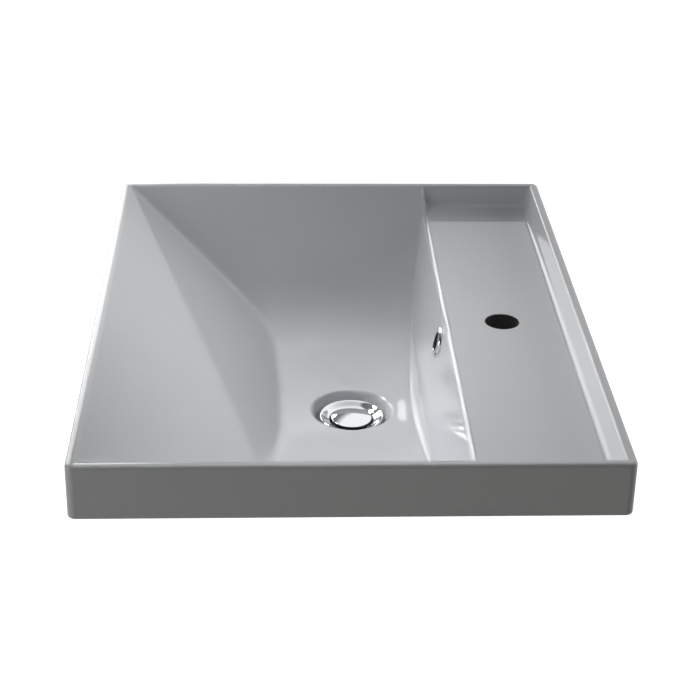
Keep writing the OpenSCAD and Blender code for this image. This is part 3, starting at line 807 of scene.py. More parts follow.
        with editing(piece):
            pick(piece, "faces", lambda f: inside(f.calc_center_median(), 0))
            bpy.ops.mesh.delete(type="FACE")
            pick(piece, "edges", lambda e: e.is_boundary and all(inside(v.co, slack) for v in e.verts))
            for ring in rings:
                bpy.ops.mesh.extrude_edges_move()
                mesh = bmesh.from_edit_mesh(piece.data)
                for vert in (v for v in mesh.verts if v.select):
                    u, v = local(vert.co)
                    reach = math.hypot(u, v)
                    wide = (reach + ring.share * (ring.radius - reach)) / reach
                    vert.co = place(u * wide, v * wide, ring.sink)
                bmesh.update_edit_mesh(piece.data)

    def make_block(self) -> bpy.types.Object:
        """Adds the rim and apron: a block with rounded corners and edges, open inside."""
        half, foot = self.length / 2, self.rim_z - self.apron
        block = box((-half, -self.depth, foot), (half, 0, self.rim_z))
        top, low = self.rim_z * MM, foot * MM
        near = 0.01 * MM

        def level(face: bmesh.types.BMFace, height: float, facing: int) -> bool:
            return face.normal.z * facing > 0.99 and abs(face.calc_center_median().z - height) < near

        with editing(block):
            pick(block, "edges", lambda e: abs(e.verts[0].co.z - e.verts[1].co.z) > 10 * MM)
            bpy.ops.mesh.bevel(offset=self.corner_r * MM, segments=10, affect="EDGES")
            for height, radius, steps in ((top, self.edge_r, 7), (low, self.foot_r, 5)):
                pick(block, "edges", lambda e: all(abs(v.co.z - height) < near for v in e.verts))
                bpy.ops.mesh.bevel(offset=radius * MM, segments=steps, affect="EDGES")
            pick(block, "faces", lambda f: level(f, top, 1))
            bpy.ops.mesh.delete(type="ONLY_FACE")
            pick(block, "faces", lambda f: level(f, low, -1))
            bpy.ops.mesh.inset(thickness=self.foot_band * MM, depth=0)
            bpy.ops.mesh.inset(thickness=self.foot_turn * MM, depth=-self.foot_turn * MM)
            bpy.ops.mesh.delete(type="ONLY_FACE")
        return block

    def sink_waste(self, grid: bpy.types.Object) -> None:
        """Runs the rings of the dished seat down to the waste's hole."""
        patch = self.waste_cells * self.cell
        rings = [Ring(47, share=0.5)] + [Ring(r) for r in (
            47, 45.2, 43.8, 42.8, 42, 41.3, 40.7, 40.1, 39.5, 38.8, 38, 37, 36, 35.1, 34.4, 33.8,
            33.2, 32.4, 31.2, 29.6, 28, 24)]
        self.sink_hole(grid, (patch, patch), lambda p: (p.x / MM, p.y / MM - self.waste_y),
                       self.dish, rings)

    def sink_tap(self, grid: bpy.types.Object) -> None:
        """Runs the tap hole's soft edge, its bore and the boss below the deck."""
        rings = [Ring(21, share=0.5), Ring(21), Ring(19.2)]
        for i in range(7):
            a = math.radians(90 * i / 6)
            rings.append(Ring(self.tap_r + self.tap_edge_r * (1 - math.sin(a)),
                              self.tap_edge_r * (1 - math.cos(a))))
        low, wide = self.deck_t + self.tap_boss, self.tap_r + self.tap_boss_w
        turn = ((0.0, 1.0), (0.3, 0.3), (1.0, 0.0))
        rings += [Ring(self.tap_r + aside, low - up) for aside, up in turn]
        rings += [Ring(wide - aside, low - up) for aside, up in reversed(turn)]
        rings.append(Ring(wide + 0.2, self.deck_t - 1))
        reach = self.tap_cells * self.cell
        self.sink_hole(grid, (reach, reach), lambda p: (p.x / MM, p.y / MM - self.tap_y),
                       self.deck_place, rings)

    def sink_overflow(self, grid: bpy.types.Object) -> None:
        """Runs the overflow's rolled edge and its bore into the steep wall."""
        lean = math.cos(math.radians(self.steep_lean))
        _, middle = self.on_steep(self.rim_z - self.overflow_drop)
        before_lip = self.deck_edge[0] - 0.9
        high = max(z for y, z in self.row_points if y < before_lip) - middle

        def local(point: Vector) -> Point2:
            x, y, z = (c / MM for c in point)
            return x, (z - middle) / lean if abs(y - self.on_steep(z)[0]) < 1.5 else 1e3

        bore = self.overflow_r
        rings = [Ring(bore + 4, share=0.6), Ring(bore + 3), Ring(bore + 1.4), Ring(bore + 0.4, 0.2),
                 Ring(bore, 1), Ring(bore, 9)]
        self.sink_hole(grid, (self.overflow_cells * self.cell, high / lean), local,
                       self.steep_place, rings)

    def make(self) -> bpy.types.Object:
        """Builds the whole glazed skin.

        Returns:
            The skin, open below.
        """
        grid = self.make_grid()
        self.sink_waste(grid)
        self.sink_tap(grid)
        self.sink_overflow(grid)
        skin = join([grid, self.make_block()], "clay_top")
        end, front, back = self.column_x[-1] - 0.01, self.row_y[0] + 0.01, self.row_y[-1] - 0.01

        def on_border(vert: bmesh.types.BMVert) -> bool:
            x, y, z = vert.co / MM
            return abs(z - self.rim_z) < 0.02 and (abs(x) > end or y < front or y > back)

        with editing(skin):
            pick(skin, "edges", lambda e: e.is_boundary and all(on_border(v) for v in e.verts))
            bpy.ops.mesh.fill(use_beauty=True)
            face_out()
        return skin


@dataclass
class ClayBody:
    """The whole clay casting: the glazed skin above and the softer cast underside below it."""

    top: ClayTop = field(default_factory=ClayTop)
    voxel: float = 3.0
    soften: int = 6
    thin_to: float = 0.42
    fixing_gap: float = 280.0
    fixing_d: float = 15.0
    fixing_chamfer: float = 1.2
    panel_w: float = 350.0
    clay_t: float = 11.0
    cover: float = 3.6
    boss_reach: Point2 = (23.5, 21.5)
    boss_top: float = 50.0
    foot_near: float = 1.5
    foot_band: Point3 = (30.0, 35.0, 20.0)
    foot_edge: float = 5.0

    def make_cast(self) -> bpy.types.Object:
        """Softens a copy of the solid basin into one cast form with crisp fixing holes."""
        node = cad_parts["basin"]
        cast = bpy.data.objects.new("cast", node.data.copy())
        bpy.context.scene.collection.objects.link(cast)
        cast.data.materials.clear()
        with editing(cast):
            bpy.ops.mesh.select_all(action="SELECT")
            bpy.ops.mesh.remove_doubles(threshold=0.01 * MM)
        r, c, back = self.fixing_d / 2, self.fixing_chamfer, -self.clay_t
        for side in (-1, 1):
            combine(cast, self.bar(side, r + 1.5, r + 1.5, back, 0), "UNION")
        apply_modifier(cast, "REMESH", mode="VOXEL", voxel_size=self.voxel * MM, use_smooth_shade=True)
        apply_modifier(cast, "SMOOTH", factor=0.5, iterations=self.soften)
        apply_modifier(cast, "DECIMATE", ratio=self.thin_to)
        for side in (-1, 1):
            for r_low, r_high, low, high in ((r, r, back - 4, 4), (r + 2 * c, r, back - c, back + c),
                                             (r, r + 2 * c, -c, c)):
                combine(cast, self.bar(side, r_low, r_high, low, high))
        return cast

    def bar(self, side: int, r_low: float, r_high: float, low: float, high: float) -> bpy.types.Object:
        """Adds a round bar along Y at one fixing hole, between two depths.

        Args:
            side: -1 or 1, which hole.
            r_low: Radius at the low end.
            r_high: Radius at the high end.
            low: Y of its low end.
            high: Y of its high end.

        Returns:
            The bar.
        """
        return added(
            bpy.ops.mesh.primitive_cone_add, vertices=64, radius1=r_high * MM, radius2=r_low * MM,
            depth=(high - low) * MM, rotation=(math.pi / 2, 0, 0),
            location=(side * self.fixing_gap / 2 * MM, (low + high) / 2 * MM, 0))

    def under_skin(self, tree: BVHTree, point: Vector) -> bool:
        """Says whether a place on the cast lies just under the glazed skin, which stands in for it.

        Below the tap hole the skin has its own boss, and the cast ends a little inside it.
        The cast keeps the back panel up to the apron's foot, and the foot's inner part.

        Args:
            tree: The skin's faces.
            point: A place on the cast, in metres.

        Returns:
            True where the cast's own face is taken away.
        """
        x, y, z = (c / MM for c in point)
        near, _, _, gap = tree.find_nearest(point)
        if gap is None or gap > self.cover * MM:
            return False
        boss_near, boss_end = self.boss_reach
        if (math.hypot(near.x / MM, near.y / MM - self.top.tap_y) < boss_near
                and near.z / MM < self.boss_top):
            return math.hypot(x, y - self.top.tap_y) < boss_end
        foot = self.top.rim_z - self.top.apron
        beside_panel = abs(x) - self.panel_w / 2
        if z < foot + 3 and beside_panel < 2 and y > -3:
            return False
        if z < foot - 0.2 and beside_panel < 8 and y > -self.clay_t - 3:
            return False
        end, front = self.top.length / 2 - abs(x), self.top.depth + y
        wide_end, wide_front, wide_back = self.foot_band
        if abs(z - foot) < self.foot_near and (end < wide_end or front < wide_front or -y < wide_back):
            return min(end, front) < self.foot_edge
        return True

    def make(self, material: bpy.types.Material) -> bpy.types.Object:
        """Builds and dresses the basin."""
        skin = self.top.make()
        tree = BVHTree.FromObject(skin, bpy.context.evaluated_depsgraph_get())
        cast = self.make_cast()
        with editing(cast):
            pick(cast, "faces", lambda f: self.under_skin(tree, f.calc_center_median()))
            bpy.ops.mesh.delete(type="FACE")
        basin = join([skin, cast], "glazed_basin")
        shade_smooth(basin)
        dress(basin, material, Slot.CERAMIC)
        return basin


@dataclass
class Overflow:
    """The chromed overflow ring and the ribbed sleeve that holds it in the clay."""

    top: ClayTop = field(default_factory=ClayTop)
    ring_d: float = 30.0
    ring_h: float = 3.6
    bore: float = 16.4
    hole_d: float = 20.0
    clay_t: float = 11.0
    gap: float = 0.1
    rolled: float = 1.1

    def seat(self) -> Point3:
        """Y and Z of the hole's centre on the steep wall, and the turn that faces it outward."""
        y, z = self.top.on_steep(self.top.rim_z - self.top.overflow_drop)
        return y, z, math.radians(90 - self.top.steep_lean)

    def place(self) -> Matrix:
        """Where the hole's centre lies on the steep wall, its Z axis out of the wall."""
        y, z, lean = self.seat()
        return Matrix.Translation((0, y * MM, z * MM)) @ Matrix.Rotation(lean, 4, "X")

    def painted_shade_inside(self) -> PaintedShadeHollow:
        """Painted shade for the ring's inside, from just below its rolled edge."""
        y, z, lean = self.seat()
        return PaintedShadeHollow((0.0, y, z), (0.0, -math.sin(lean), math.cos(lean)),
                      self.bore / 2 + self.rolled, self.ring_h - 0.7)

    def make_ring(self) -> bpy.types.Object:
        """Spins the domed ring with its rolled inner edge and thin sleeve."""
        outer, inner = self.ring_d / 2, self.bore / 2
        width = outer - inner
        radius = (width**2 / 4 + self.ring_h**2) / (2 * self.ring_h)
        middle, low = (outer + inner) / 2, self.ring_h - radius + self.gap
        half = math.asin(min(1.0, (width / 2) / radius))
        half = half if low <= self.gap else math.pi - half
        dome = []
        for i in range(25):
            a = half - 2 * half * i / 24
            dome.append((middle + radius * math.sin(a), max(low + radius * math.cos(a), self.gap)))
        sleeve, end, turn = self.hole_d / 2 - 1, -self.clay_t, 0.4
        outline = dome + [(inner, end + turn), (inner + turn, end), (sleeve - turn, end),
                          (sleeve, end + turn), (sleeve, self.gap), (outer - 1.2, self.gap)]
        return spun("chromed_overflow_ring", outline, 96, self.place())

    def make_seal(self) -> bpy.types.Object:
        """Spins the thin rubber sleeve with its three round ribs."""
        inner, outer = self.hole_d / 2 - 1 + self.gap / 2, self.hole_d / 2 - self.gap / 2
        wall = (outer - inner) / 2
        outline = [(inner, -self.clay_t + 1), (inner, -1.0), (inner + wall, -1.0)]
        for share in (0.26, 0.54, 0.82):
            middle = -self.clay_t * share + 0.5
            for i in range(7):
                a = math.pi * i / 6
                outline.append((inner + wall + (outer - inner - wall) * math.sin(a),
                                middle + 0.5 * math.cos(a)))
        outline.append((inner + wall, -self.clay_t + 1))
        return spun("overflow_sleeve_seal", outline, 64, self.place())


def soft_outline(corners: Sequence[Point3], steps: int = 4) -> list[Point2]:
    """Rounds the corners of a closed outline.

    Args:
        corners: Radius and height of each corner and the radius that rounds it; 0 keeps it sharp.
        steps: Number of chords in each rounded corner.

    Returns:
        The outline's points.
    """
    points: list[Point2] = []
    count = len(corners)
    for i, (r, z, radius) in enumerate(corners):
        before, after = corners[i - 1], corners[(i + 1) % count]
        if radius > 0:
            points += round_corner(before[:2], (r, z), after[:2], radius, steps)
        else:
            points.append((r, z))
    return points


def threaded(piece: bpy.types.Object, centre: Vector, low: float, high: float, radius: float,
             pitch: float, depth: float) -> None:
    """Cuts a rounded screw thread into the outside of a spun piece.

    Args:
        piece: The piece; its outside has rows close together between low and high.
        centre: A point on its upright axis, in metres.
        low: Height of the thread's lower end.
        high: Height of its upper end.
        radius: Outer radius of the plain bar.
        pitch: Rise of one turn.
        depth: Depth of the groove.
    """
    for vert in piece.data.vertices:
        x, y, z = (vert.co - centre) / MM
        reach, z = math.hypot(x, y), vert.co.z / MM
        if abs(reach - radius) > 0.02 or not low - 0.01 <= z <= high + 0.01:
            continue
        phase = (z / pitch - math.atan2(y, x) / (2 * math.pi)) % 1.0
        wave = min(1.0, max(0.0, 1.5 * abs(2 * phase - 1) - 0.2))
        fade = min(1.0, (z - low) / pitch, (high - z) / pitch) if low < z < high else 0.0
        cut = depth * wave * fade / reach
        vert.co -= Vector((x * cut, y * cut, 0)) * MM


@dataclass
class WasteFitting:
    """The push-down waste: flange and tail, plug, click cartridge and the fittings below the clay.

    Every height is worked out from the rim as in the solid model.
    """

    y: float = -217.0
    flange_d: float = 63.0
    flange_t: float = 2.0
    gasket_t: float = 2.0
    tail_d: float = 41.9
    tail_bore: float = 36.6
    waste_l: float = 78.0
    tail_edge: float = 0.8
    trap_l: float = 17.5
    mouth_d: float = 44.0
    flange_dip: float = 4.2
    root_t: float = 2.5
    cone_h: float = 7.4
    window_w: float = 12.0
    bridge_t: float = 4.0
    bridge_w: float = 5.0
    seat_low: float = -51.2
    boss_low: float = -85.2
    chamber_low: float = -75.2
    chamber_h: float = 14.0
    plug_d: float = 39.5
    dome_h: float = 3.6
    dome_rise: float = 2.0
    plug_t: float = 2.8
    seal_t: float = 2.5
    hub_h: float = 6.5
    hub_d: float = 14.0
    stem_d: float = 6.0
    stem_grip: float = 8.0
    travel: float = 7.0
    cart_d: float = 15.6
    cart_bore: float = 13.2
    cart_l: float = 33.0
    floor_t: float = 2.0
    drain_d: float = 3.0
    nut_d: float = 13.0
    nut_t: float = 4.0
    neck_clear: float = 2.0
    lid_t: float = 3.0
    lid_skirt: float = 2.0
    head_t: float = 4.0
    cam_t: float = 5.0
    cam_bore: float = 4.0
    teeth: int = 8
    tooth_h: float = 1.4
    tooth_t: float = 1.6
    collar_d: float = 21.0
    collar_h: float = 3.0
    cart_nut_d: float = 25.0
    cart_nut_h: float = 5.0
    neck_d: float = 9.0
    wire_d: float = 0.9
    spring_d: float = 9.6
    turns: int = 5
    cone_base: float = 4.0
    cone_top: float = 5.0
    cone_d: float = 60.0
    cone_lip: float = 0.8
    slip_d: float = 58.0
    slip_t: float = 1.5
    nut_h: float = 10.0
    rim_d: float = 57.0
    rim_t: float = 2.0
    nut_af: float = 52.0
    hole_d: float = 46.0
    fit: float = 0.1
    run_gap: float = 0.3
    tail_pitch: float = 2.309
    tail_groove: float = 1.1
    gasket_r: float = 26.5

    def __post_init__(self) -> None:
        """Works out the heights of the flange, plug and cartridge."""
        self.root_z = self.seat_low + self.gasket_t
        self.seat_z = self.root_z + self.root_t
        self.flange_z = self.seat_z + self.flange_dip
        self.throat_z = self.seat_z - self.cone_h
        self.tail_end = self.flange_z - self.waste_l
        self.groove_z = self.tail_end + self.tail_edge + self.trap_l
        self.bridge_z = self.chamber_low - 0.5
        self.plug_low = self.seat_z - self.plug_t
        self.seal_low = self.plug_low - self.seal_t
        self.hub_low = self.plug_low - self.hub_h
        self.neck_top = self.hub_low - self.nut_t
        self.cart_top = self.neck_top - self.neck_clear
        self.head_top = self.cart_top - self.lid_t - self.run_gap - self.travel
        self.cam_top = self.head_top - self.head_t - self.run_gap
        self.cam_low = self.cam_top - self.cam_t
        self.cart_low = self.cart_top - self.cart_l
        self.place = Matrix.Translation((0, self.y * MM, 0))
        self.centre = Vector((0, self.y * MM, 0))

    def spin(self, name: str, corners: Sequence[Point3], steps: int = 96) -> bpy.types.Object:
        """Spins a closed outline with rounded corners round the waste's axis."""
        return spun(name, soft_outline(corners), steps, self.place)

    def washer(self, name: str, radii: Point2, heights: Point2, soft: Sequence[float],
               steps: int = 96) -> bpy.types.Object:
        """Spins a flat ring.

        Args:
            name: Name of the piece.
            radii: Its inner and outer radius.
            heights: Z of its bottom and top.
            soft: What rounds its corners: inner low, outer low, outer high and inner high.
            steps: Number of segments round the axis.

        Returns:
            The ring.
        """
        (inner, outer), (low, high) = radii, heights
        corners = ((inner, low), (outer, low), (outer, high), (inner, high))
        return self.spin(name, [(*corner, radius) for corner, radius in zip(corners, soft)], steps)

    def make_flange(self) -> bpy.types.Object:
        """Builds the dished flange, coned seat, windowed tail and the cartridge's bridge."""
        edge, tail, bore = self.flange_d / 2, self.tail_d / 2, self.tail_bore / 2
        rows = run((tail, self.tail_end + self.tail_edge), (tail, self.groove_z), 62)
        outline = soft_outline([
            (bore, self.tail_end, 0.3), (tail - self.tail_edge, self.tail_end, 0.3),
            (tail, self.tail_end + self.tail_edge, 0)]) + rows + soft_outline([
                (tail, self.groove_z, 0), (tail - self.tail_edge, self.groove_z, 0),
                (tail - self.tail_edge, self.groove_z + 1, 0), (tail, self.groove_z + 1, 0)])
        half = self.flange_t / 2
        outline += [(tail, self.root_z), (self.gasket_r, self.root_z)]
        outline += [(edge - half + half * math.cos(a), self.flange_z - half + half * math.sin(a))
                    for a in (math.radians(-90 + 15 * i) for i in range(13))]
        mouth, rim, dip = self.mouth_d / 2, edge - half, self.flange_dip - 0.3
        for i in range(1, 15):
            share = i / 14
            outline.append((rim + (mouth + 1 - rim) * share,
                            self.flange_z - dip * (0.55 * share + 0.45 * ease(share))))
        outline += round_corner(outline[-1], (mouth + 0.1, self.seat_z), (bore, self.throat_z), 0.8, 5)
        outline += round_corner((mouth, self.seat_z), (bore, self.throat_z), (bore, self.tail_end),
                                2.0, 5)
        piece = spun("chromed_waste", outline, 128, self.place)
        threaded(piece, self.centre, self.tail_end + self.tail_edge, self.groove_z, tail,
                 self.tail_pitch, self.tail_groove)
        low, high = self.chamber_low + 1, self.chamber_low + self.chamber_h - 3
        for quarter in range(4):
            combine(piece, self.block((bore - 2, tail + 2), self.window_w, (low, high),
                                      45 + 90 * quarter, 2.0))
        hub, gap, top = self.collar_d / 2, self.cart_d / 2 + self.fit, self.bridge_z
        parts = [piece, self.washer("bridge_hub", (gap, hub), (top - self.bridge_t, top),
                                    (0.3, 0.5, 0.5, 0.3), 64)]
        parts += [self.block((gap + 1, bore + 0.5), self.bridge_w, (top - self.bridge_t, top), a, 0.6)
                  for a in (30, 150, 270)]
        return join(parts, "chromed_waste")

    def block(self, reach: Point2, width: float, heights: Point2, turn: float,
              soft: float) -> bpy.types.Object:
        """Adds a bevelled block that lies out from the waste's axis.

        Args:
            reach: Distances from the axis to its near and far ends.
            width: Its width.
            heights: Z of its bottom and top.
            turn: Degrees round the axis from X.
            soft: Width of its bevel.

        Returns:
            The block.
        """
        (near, far), (low, high) = reach, heights
        block = box((near, -width / 2, low), (far, width / 2, high))
        apply_modifier(block, "BEVEL", width=soft * MM, segments=3, limit_method="ANGLE")
        block.data.transform(self.place @ Matrix.Rotation(math.radians(turn), 4, "Z"))
        bpy.ops.object.shade_smooth_by_angle(angle=math.radians(40))
        return block

    def make_plug(self) -> bpy.types.Object:
        """Spins the domed plug with its soft edge and the hub below it."""
        r, low, hub = self.plug_d / 2, self.plug_low, self.hub_d / 2
        dome_r = (r * r + self.dome_rise**2) / (2 * self.dome_rise)
        top = self.seat_z + self.dome_h
        middle = top - dome_r
        edge = math.asin((r - 0.45) / dome_r)
        outline = [(dome_r * math.sin(edge * i / 28), middle + dome_r * math.cos(edge * i / 28))
                   for i in range(29)]
        outline[0] = (0.0, top)
        outline += round_corner(outline[-1], (r, outline[-1][1] - 0.09), (r, low), 0.4, 4)
        outline += soft_outline([(r, low, 0.8), (hub, low, 0.4), (hub, self.hub_low, 0.5),
                                 (self.stem_d / 2 + self.fit, self.hub_low, 0.2),
                                 (self.stem_d / 2 + self.fit, low - 1, 0), (0, low - 1, 0)])
        return spun("domed_plug", outline, 128, self.place)

    def make_plug_seal(self) -> bpy.types.Object:
        """Spins the plug's seal: a flat washer whose rim swells into a round bead."""
        hub, low = self.hub_d / 2 + self.fit, self.seal_low
        bead = self.seal_t / 2 - self.fit / 2
        rim = self.mouth_d / 2 - (self.seat_z - low - bead) / self.cone_h * (
            self.mouth_d - self.tail_bore) / 2 - 1.2 * self.run_gap
        outline = soft_outline([(hub, low, 0.3), (hub + self.seal_t, low, 0.4),
                                (hub + self.seal_t, low + self.seal_t / 2, 0.4)])
        outline += [(rim - bead + bead * math.cos(a), low + bead + bead * math.sin(a))
                    for a in (math.radians(-170 + 20 * i) for i in range(13))]
        outline += [(rim - bead - 0.5, low + self.seal_t), (hub, low + self.seal_t)]
        return spun("plug_seal_ring", outline, 96, self.place)

    def make_stem(self) -> bpy.types.Object:
        """Spins the brass stem and cuts its thread."""
        r, low, high = self.stem_d / 2, self.neck_top - self.stem_grip, self.plug_low - self.run_gap
        rows = run((r, low + 0.5), (r, high - 0.5), 120)
        outline = [(0, low), (r - 0.5, low), (r, low + 0.5), *rows,
                   (r, high - 0.5), (r - 0.5, high), (0, high)]
        piece = spun("threaded_stem", outline, 32, self.place)
        threaded(piece, self.centre, low + 0.5, high - 0.5, r, 1.0, 0.5)
        return piece

    def hex_nut(self, name: str, corners_d: float, heights: Point2, bore: float) -> bpy.types.Object:
        """Builds a hexagon nut with chamfered corners and a chamfered bore.

        Args:
            name: Name of the piece.
            corners_d: Size across its corners.
            heights: Z of its bottom and top.
            bore: Diameter of its bore.

        Returns:
            The nut.
        """
        low, high = heights
        nut = added(bpy.ops.mesh.primitive_cylinder_add, vertices=6, radius=corners_d / 2 * MM,
                    depth=(high - low) * MM, location=(0, self.y * MM, (low + high) / 2 * MM),
                    rotation=(0, 0, math.pi / 6))
        nut.name = name
        apply_modifier(nut, "BEVEL", width=corners_d * 0.006 * MM, segments=2, limit_method="ANGLE")
        corner, cut = corners_d / 2, 0.02 * corners_d
        flat = corner * math.cos(math.pi / 6)
        rise = (corner - flat) * math.tan(math.radians(30)) + 0.577 * cut

        def tool(kind: str, end_r: float, side_r: float, slope: float) -> bpy.types.Object:
            """Spins a bar that has another radius between the nut's two faces."""
            return spun(kind, [(0, low - 1), (end_r, low - 1), (end_r, low), (side_r, low + slope),
                               (side_r, high - slope), (end_r, high), (end_r, high + 1),
                               (0, high + 1)], 96, self.place)

        combine(nut, tool("lens", flat - cut, corner, rise), "INTERSECT")
        combine(nut, tool("drill", bore / 2 + 0.5, bore / 2, 0.5))
        bpy.ops.object.shade_smooth_by_angle(angle=math.radians(25))
        return nut

    def make_back_nut(self) -> bpy.types.Object:
        """Builds the large brass nut with its round flange on top."""
        high = self.boss_low - self.cone_base - self.slip_t
        bore = self.tail_d + 2 * self.fit
        nut = self.hex_nut("brass_back_nut", self.nut_af / math.cos(math.pi / 6),
                           (high - self.nut_h, high - 0.2), bore)
        rim = self.washer("rim", (bore / 2, self.rim_d / 2), (high - self.rim_t, high),
                          (0.0, 0.5, 0.5, 0.3))
        return join([nut, rim], "brass_back_nut")

    def make_plunger(self) -> bpy.types.Object:
        """Builds the plunger: neck, head and its crown of pointed teeth."""
        head, neck = self.cart_bore / 2 - self.run_gap, self.neck_d / 2
        bore, grip = self.stem_d / 2 + self.fit, self.neck_top - self.stem_grip - self.fit
        under = self.head_top - self.head_t + self.tooth_h
        body = self.spin("plunger", [
            (0, under, 0), (head, under, 0.2), (head, self.head_top, 0.4), (neck, self.head_top, 0.4),
            (neck, self.neck_top, 0.4), (bore, self.neck_top, 0.2), (bore, grip, 0.3),
            (0, grip, 0)], 64)
        teeth = [self.tooth(head, under + self.fit, -self.tooth_h - self.fit, 360 / self.teeth * i, 0.0)
                 for i in range(self.teeth)]
        return join([body, *teeth], "click_plunger_moulding")

    def make_cam(self) -> bpy.types.Object:
        """Builds the ratchet ring with its leaning teeth."""
        r, bore = self.cart_bore / 2 - self.run_gap, self.cam_bore / 2
        flat = self.cam_top - self.tooth_h
        body = self.washer("cam", (bore, r), (self.cam_low, flat), (0.3, 0.3, 0.2, 0.3), 64)
        teeth = [self.tooth(r, flat - self.fit, self.tooth_h + self.fit,
                            360 / self.teeth * (i + 0.5), -0.75)
                 for i in range(self.teeth)]
        return join([body, *teeth], "click_cam_moulding")

    def tooth(self, outer: float, root: float, rise: float, turn: float,
              lean: float) -> bpy.types.Object:
        """Adds one ratchet tooth: a block whose far face is pinched to an edge.

        Args:
            outer: Radius of the ring that carries it.
            root: Z of its root.
            rise: Height of its tip over the root, negative for a tooth that points down.
            turn: Degrees round the axis.
            lean: Sideways place of its tip, in tooth thicknesses.

        Returns:
            The tooth.
        """
        far, tip = outer - self.run_gap, root + rise
        tooth = box((far - self.tooth_t, -self.tooth_t, min(root, tip)),
                    (far, self.tooth_t, max(root, tip)))
        for vert in tooth.data.vertices:
            if abs(vert.co.z - tip * MM) < 1e-6:
                vert.co.y = (lean * self.tooth_t + math.copysign(0.12, vert.co.y)) * MM
        tooth.data.transform(self.place @ Matrix.Rotation(math.radians(turn), 4, "Z"))
        apply_modifier(tooth, "BEVEL", width=0.1 * MM, segments=2, limit_method="ANGLE")
        return tooth

    def spring_ends(self) -> tuple[Point2, Point2]:
        """Where the spring stands on the cartridge's floor and where it meets the cam, on its axis."""
        return (self.y, self.cart_low + self.floor_t + self.fit), (self.y, self.cam_low - self.fit)

    def make_spring(self) -> bpy.types.Object:
        """Winds the coil spring with closed end coils.

        Returns:
            The spring, from the cartridge's floor to the cam.
        """
        (_, low), (_, high) = self.spring_ends()
        wire, mean, around, sides = self.wire_d / 2, self.spring_d / 2, 36, 12
        steps = self.turns * around
        verts, faces = [], []
        for i in range(steps + 1):
            share = i / steps
            a = 2 * math.pi * self.turns * share
            rise = low + wire + (high - low - 2 * wire) * (ease(share) + share) / 2
            for j in range(sides):
                b = 2 * math.pi * j / sides
                r = mean + wire * math.cos(b)
                verts.append((r * math.cos(a) * MM, (r * math.sin(a) + self.y) * MM,
                              (rise + wire * math.sin(b)) * MM))
                if i < steps:
                    k, n = i * sides + j, i * sides + (j + 1) % sides
                    faces.append((k, n, n + sides, k + sides))
        faces += [tuple(reversed(range(sides))), tuple(range(steps * sides, (steps + 1) * sides))]
        piece = from_points("spring_coil", verts, [], faces)
        with editing(piece):
            face_out()
        shade_smooth(piece)
        return piece

    def make_cartridge(self) -> bpy.types.Object:
        """Spins the cartridge's housing with its collar, drain hole and fine thread."""
        r, bore, drain = self.cart_d / 2, self.cart_bore / 2, self.drain_d / 2
        low, top, collar = self.cart_low, self.cart_top - self.lid_t, self.collar_d / 2
        thread_low = self.bridge_z - self.bridge_t - self.cart_nut_h - 2
        thread_high = self.bridge_z - 0.5
        rows = run((r, thread_low), (r, thread_high), 88)
        outline = soft_outline([(drain, low + self.floor_t, 0.3), (drain, low, 0.3), (r, low, 0.5)])
        outline += [(r, thread_low), *rows, (r, thread_high)]
        outline += soft_outline([
            (r, self.bridge_z, 0), (collar, self.bridge_z, 0.4),
            (collar, self.bridge_z + self.collar_h, 0.4), (r, self.bridge_z + self.collar_h, 0.4),
            (r, top, 0.3), (bore, top, 0.3),
            (bore, low + self.floor_t, 0.5)])
        piece = spun("cartridge_housing", outline, 72, self.place)
        threaded(piece, self.centre, thread_low, thread_high, r, 1.0, 0.45)
        return piece

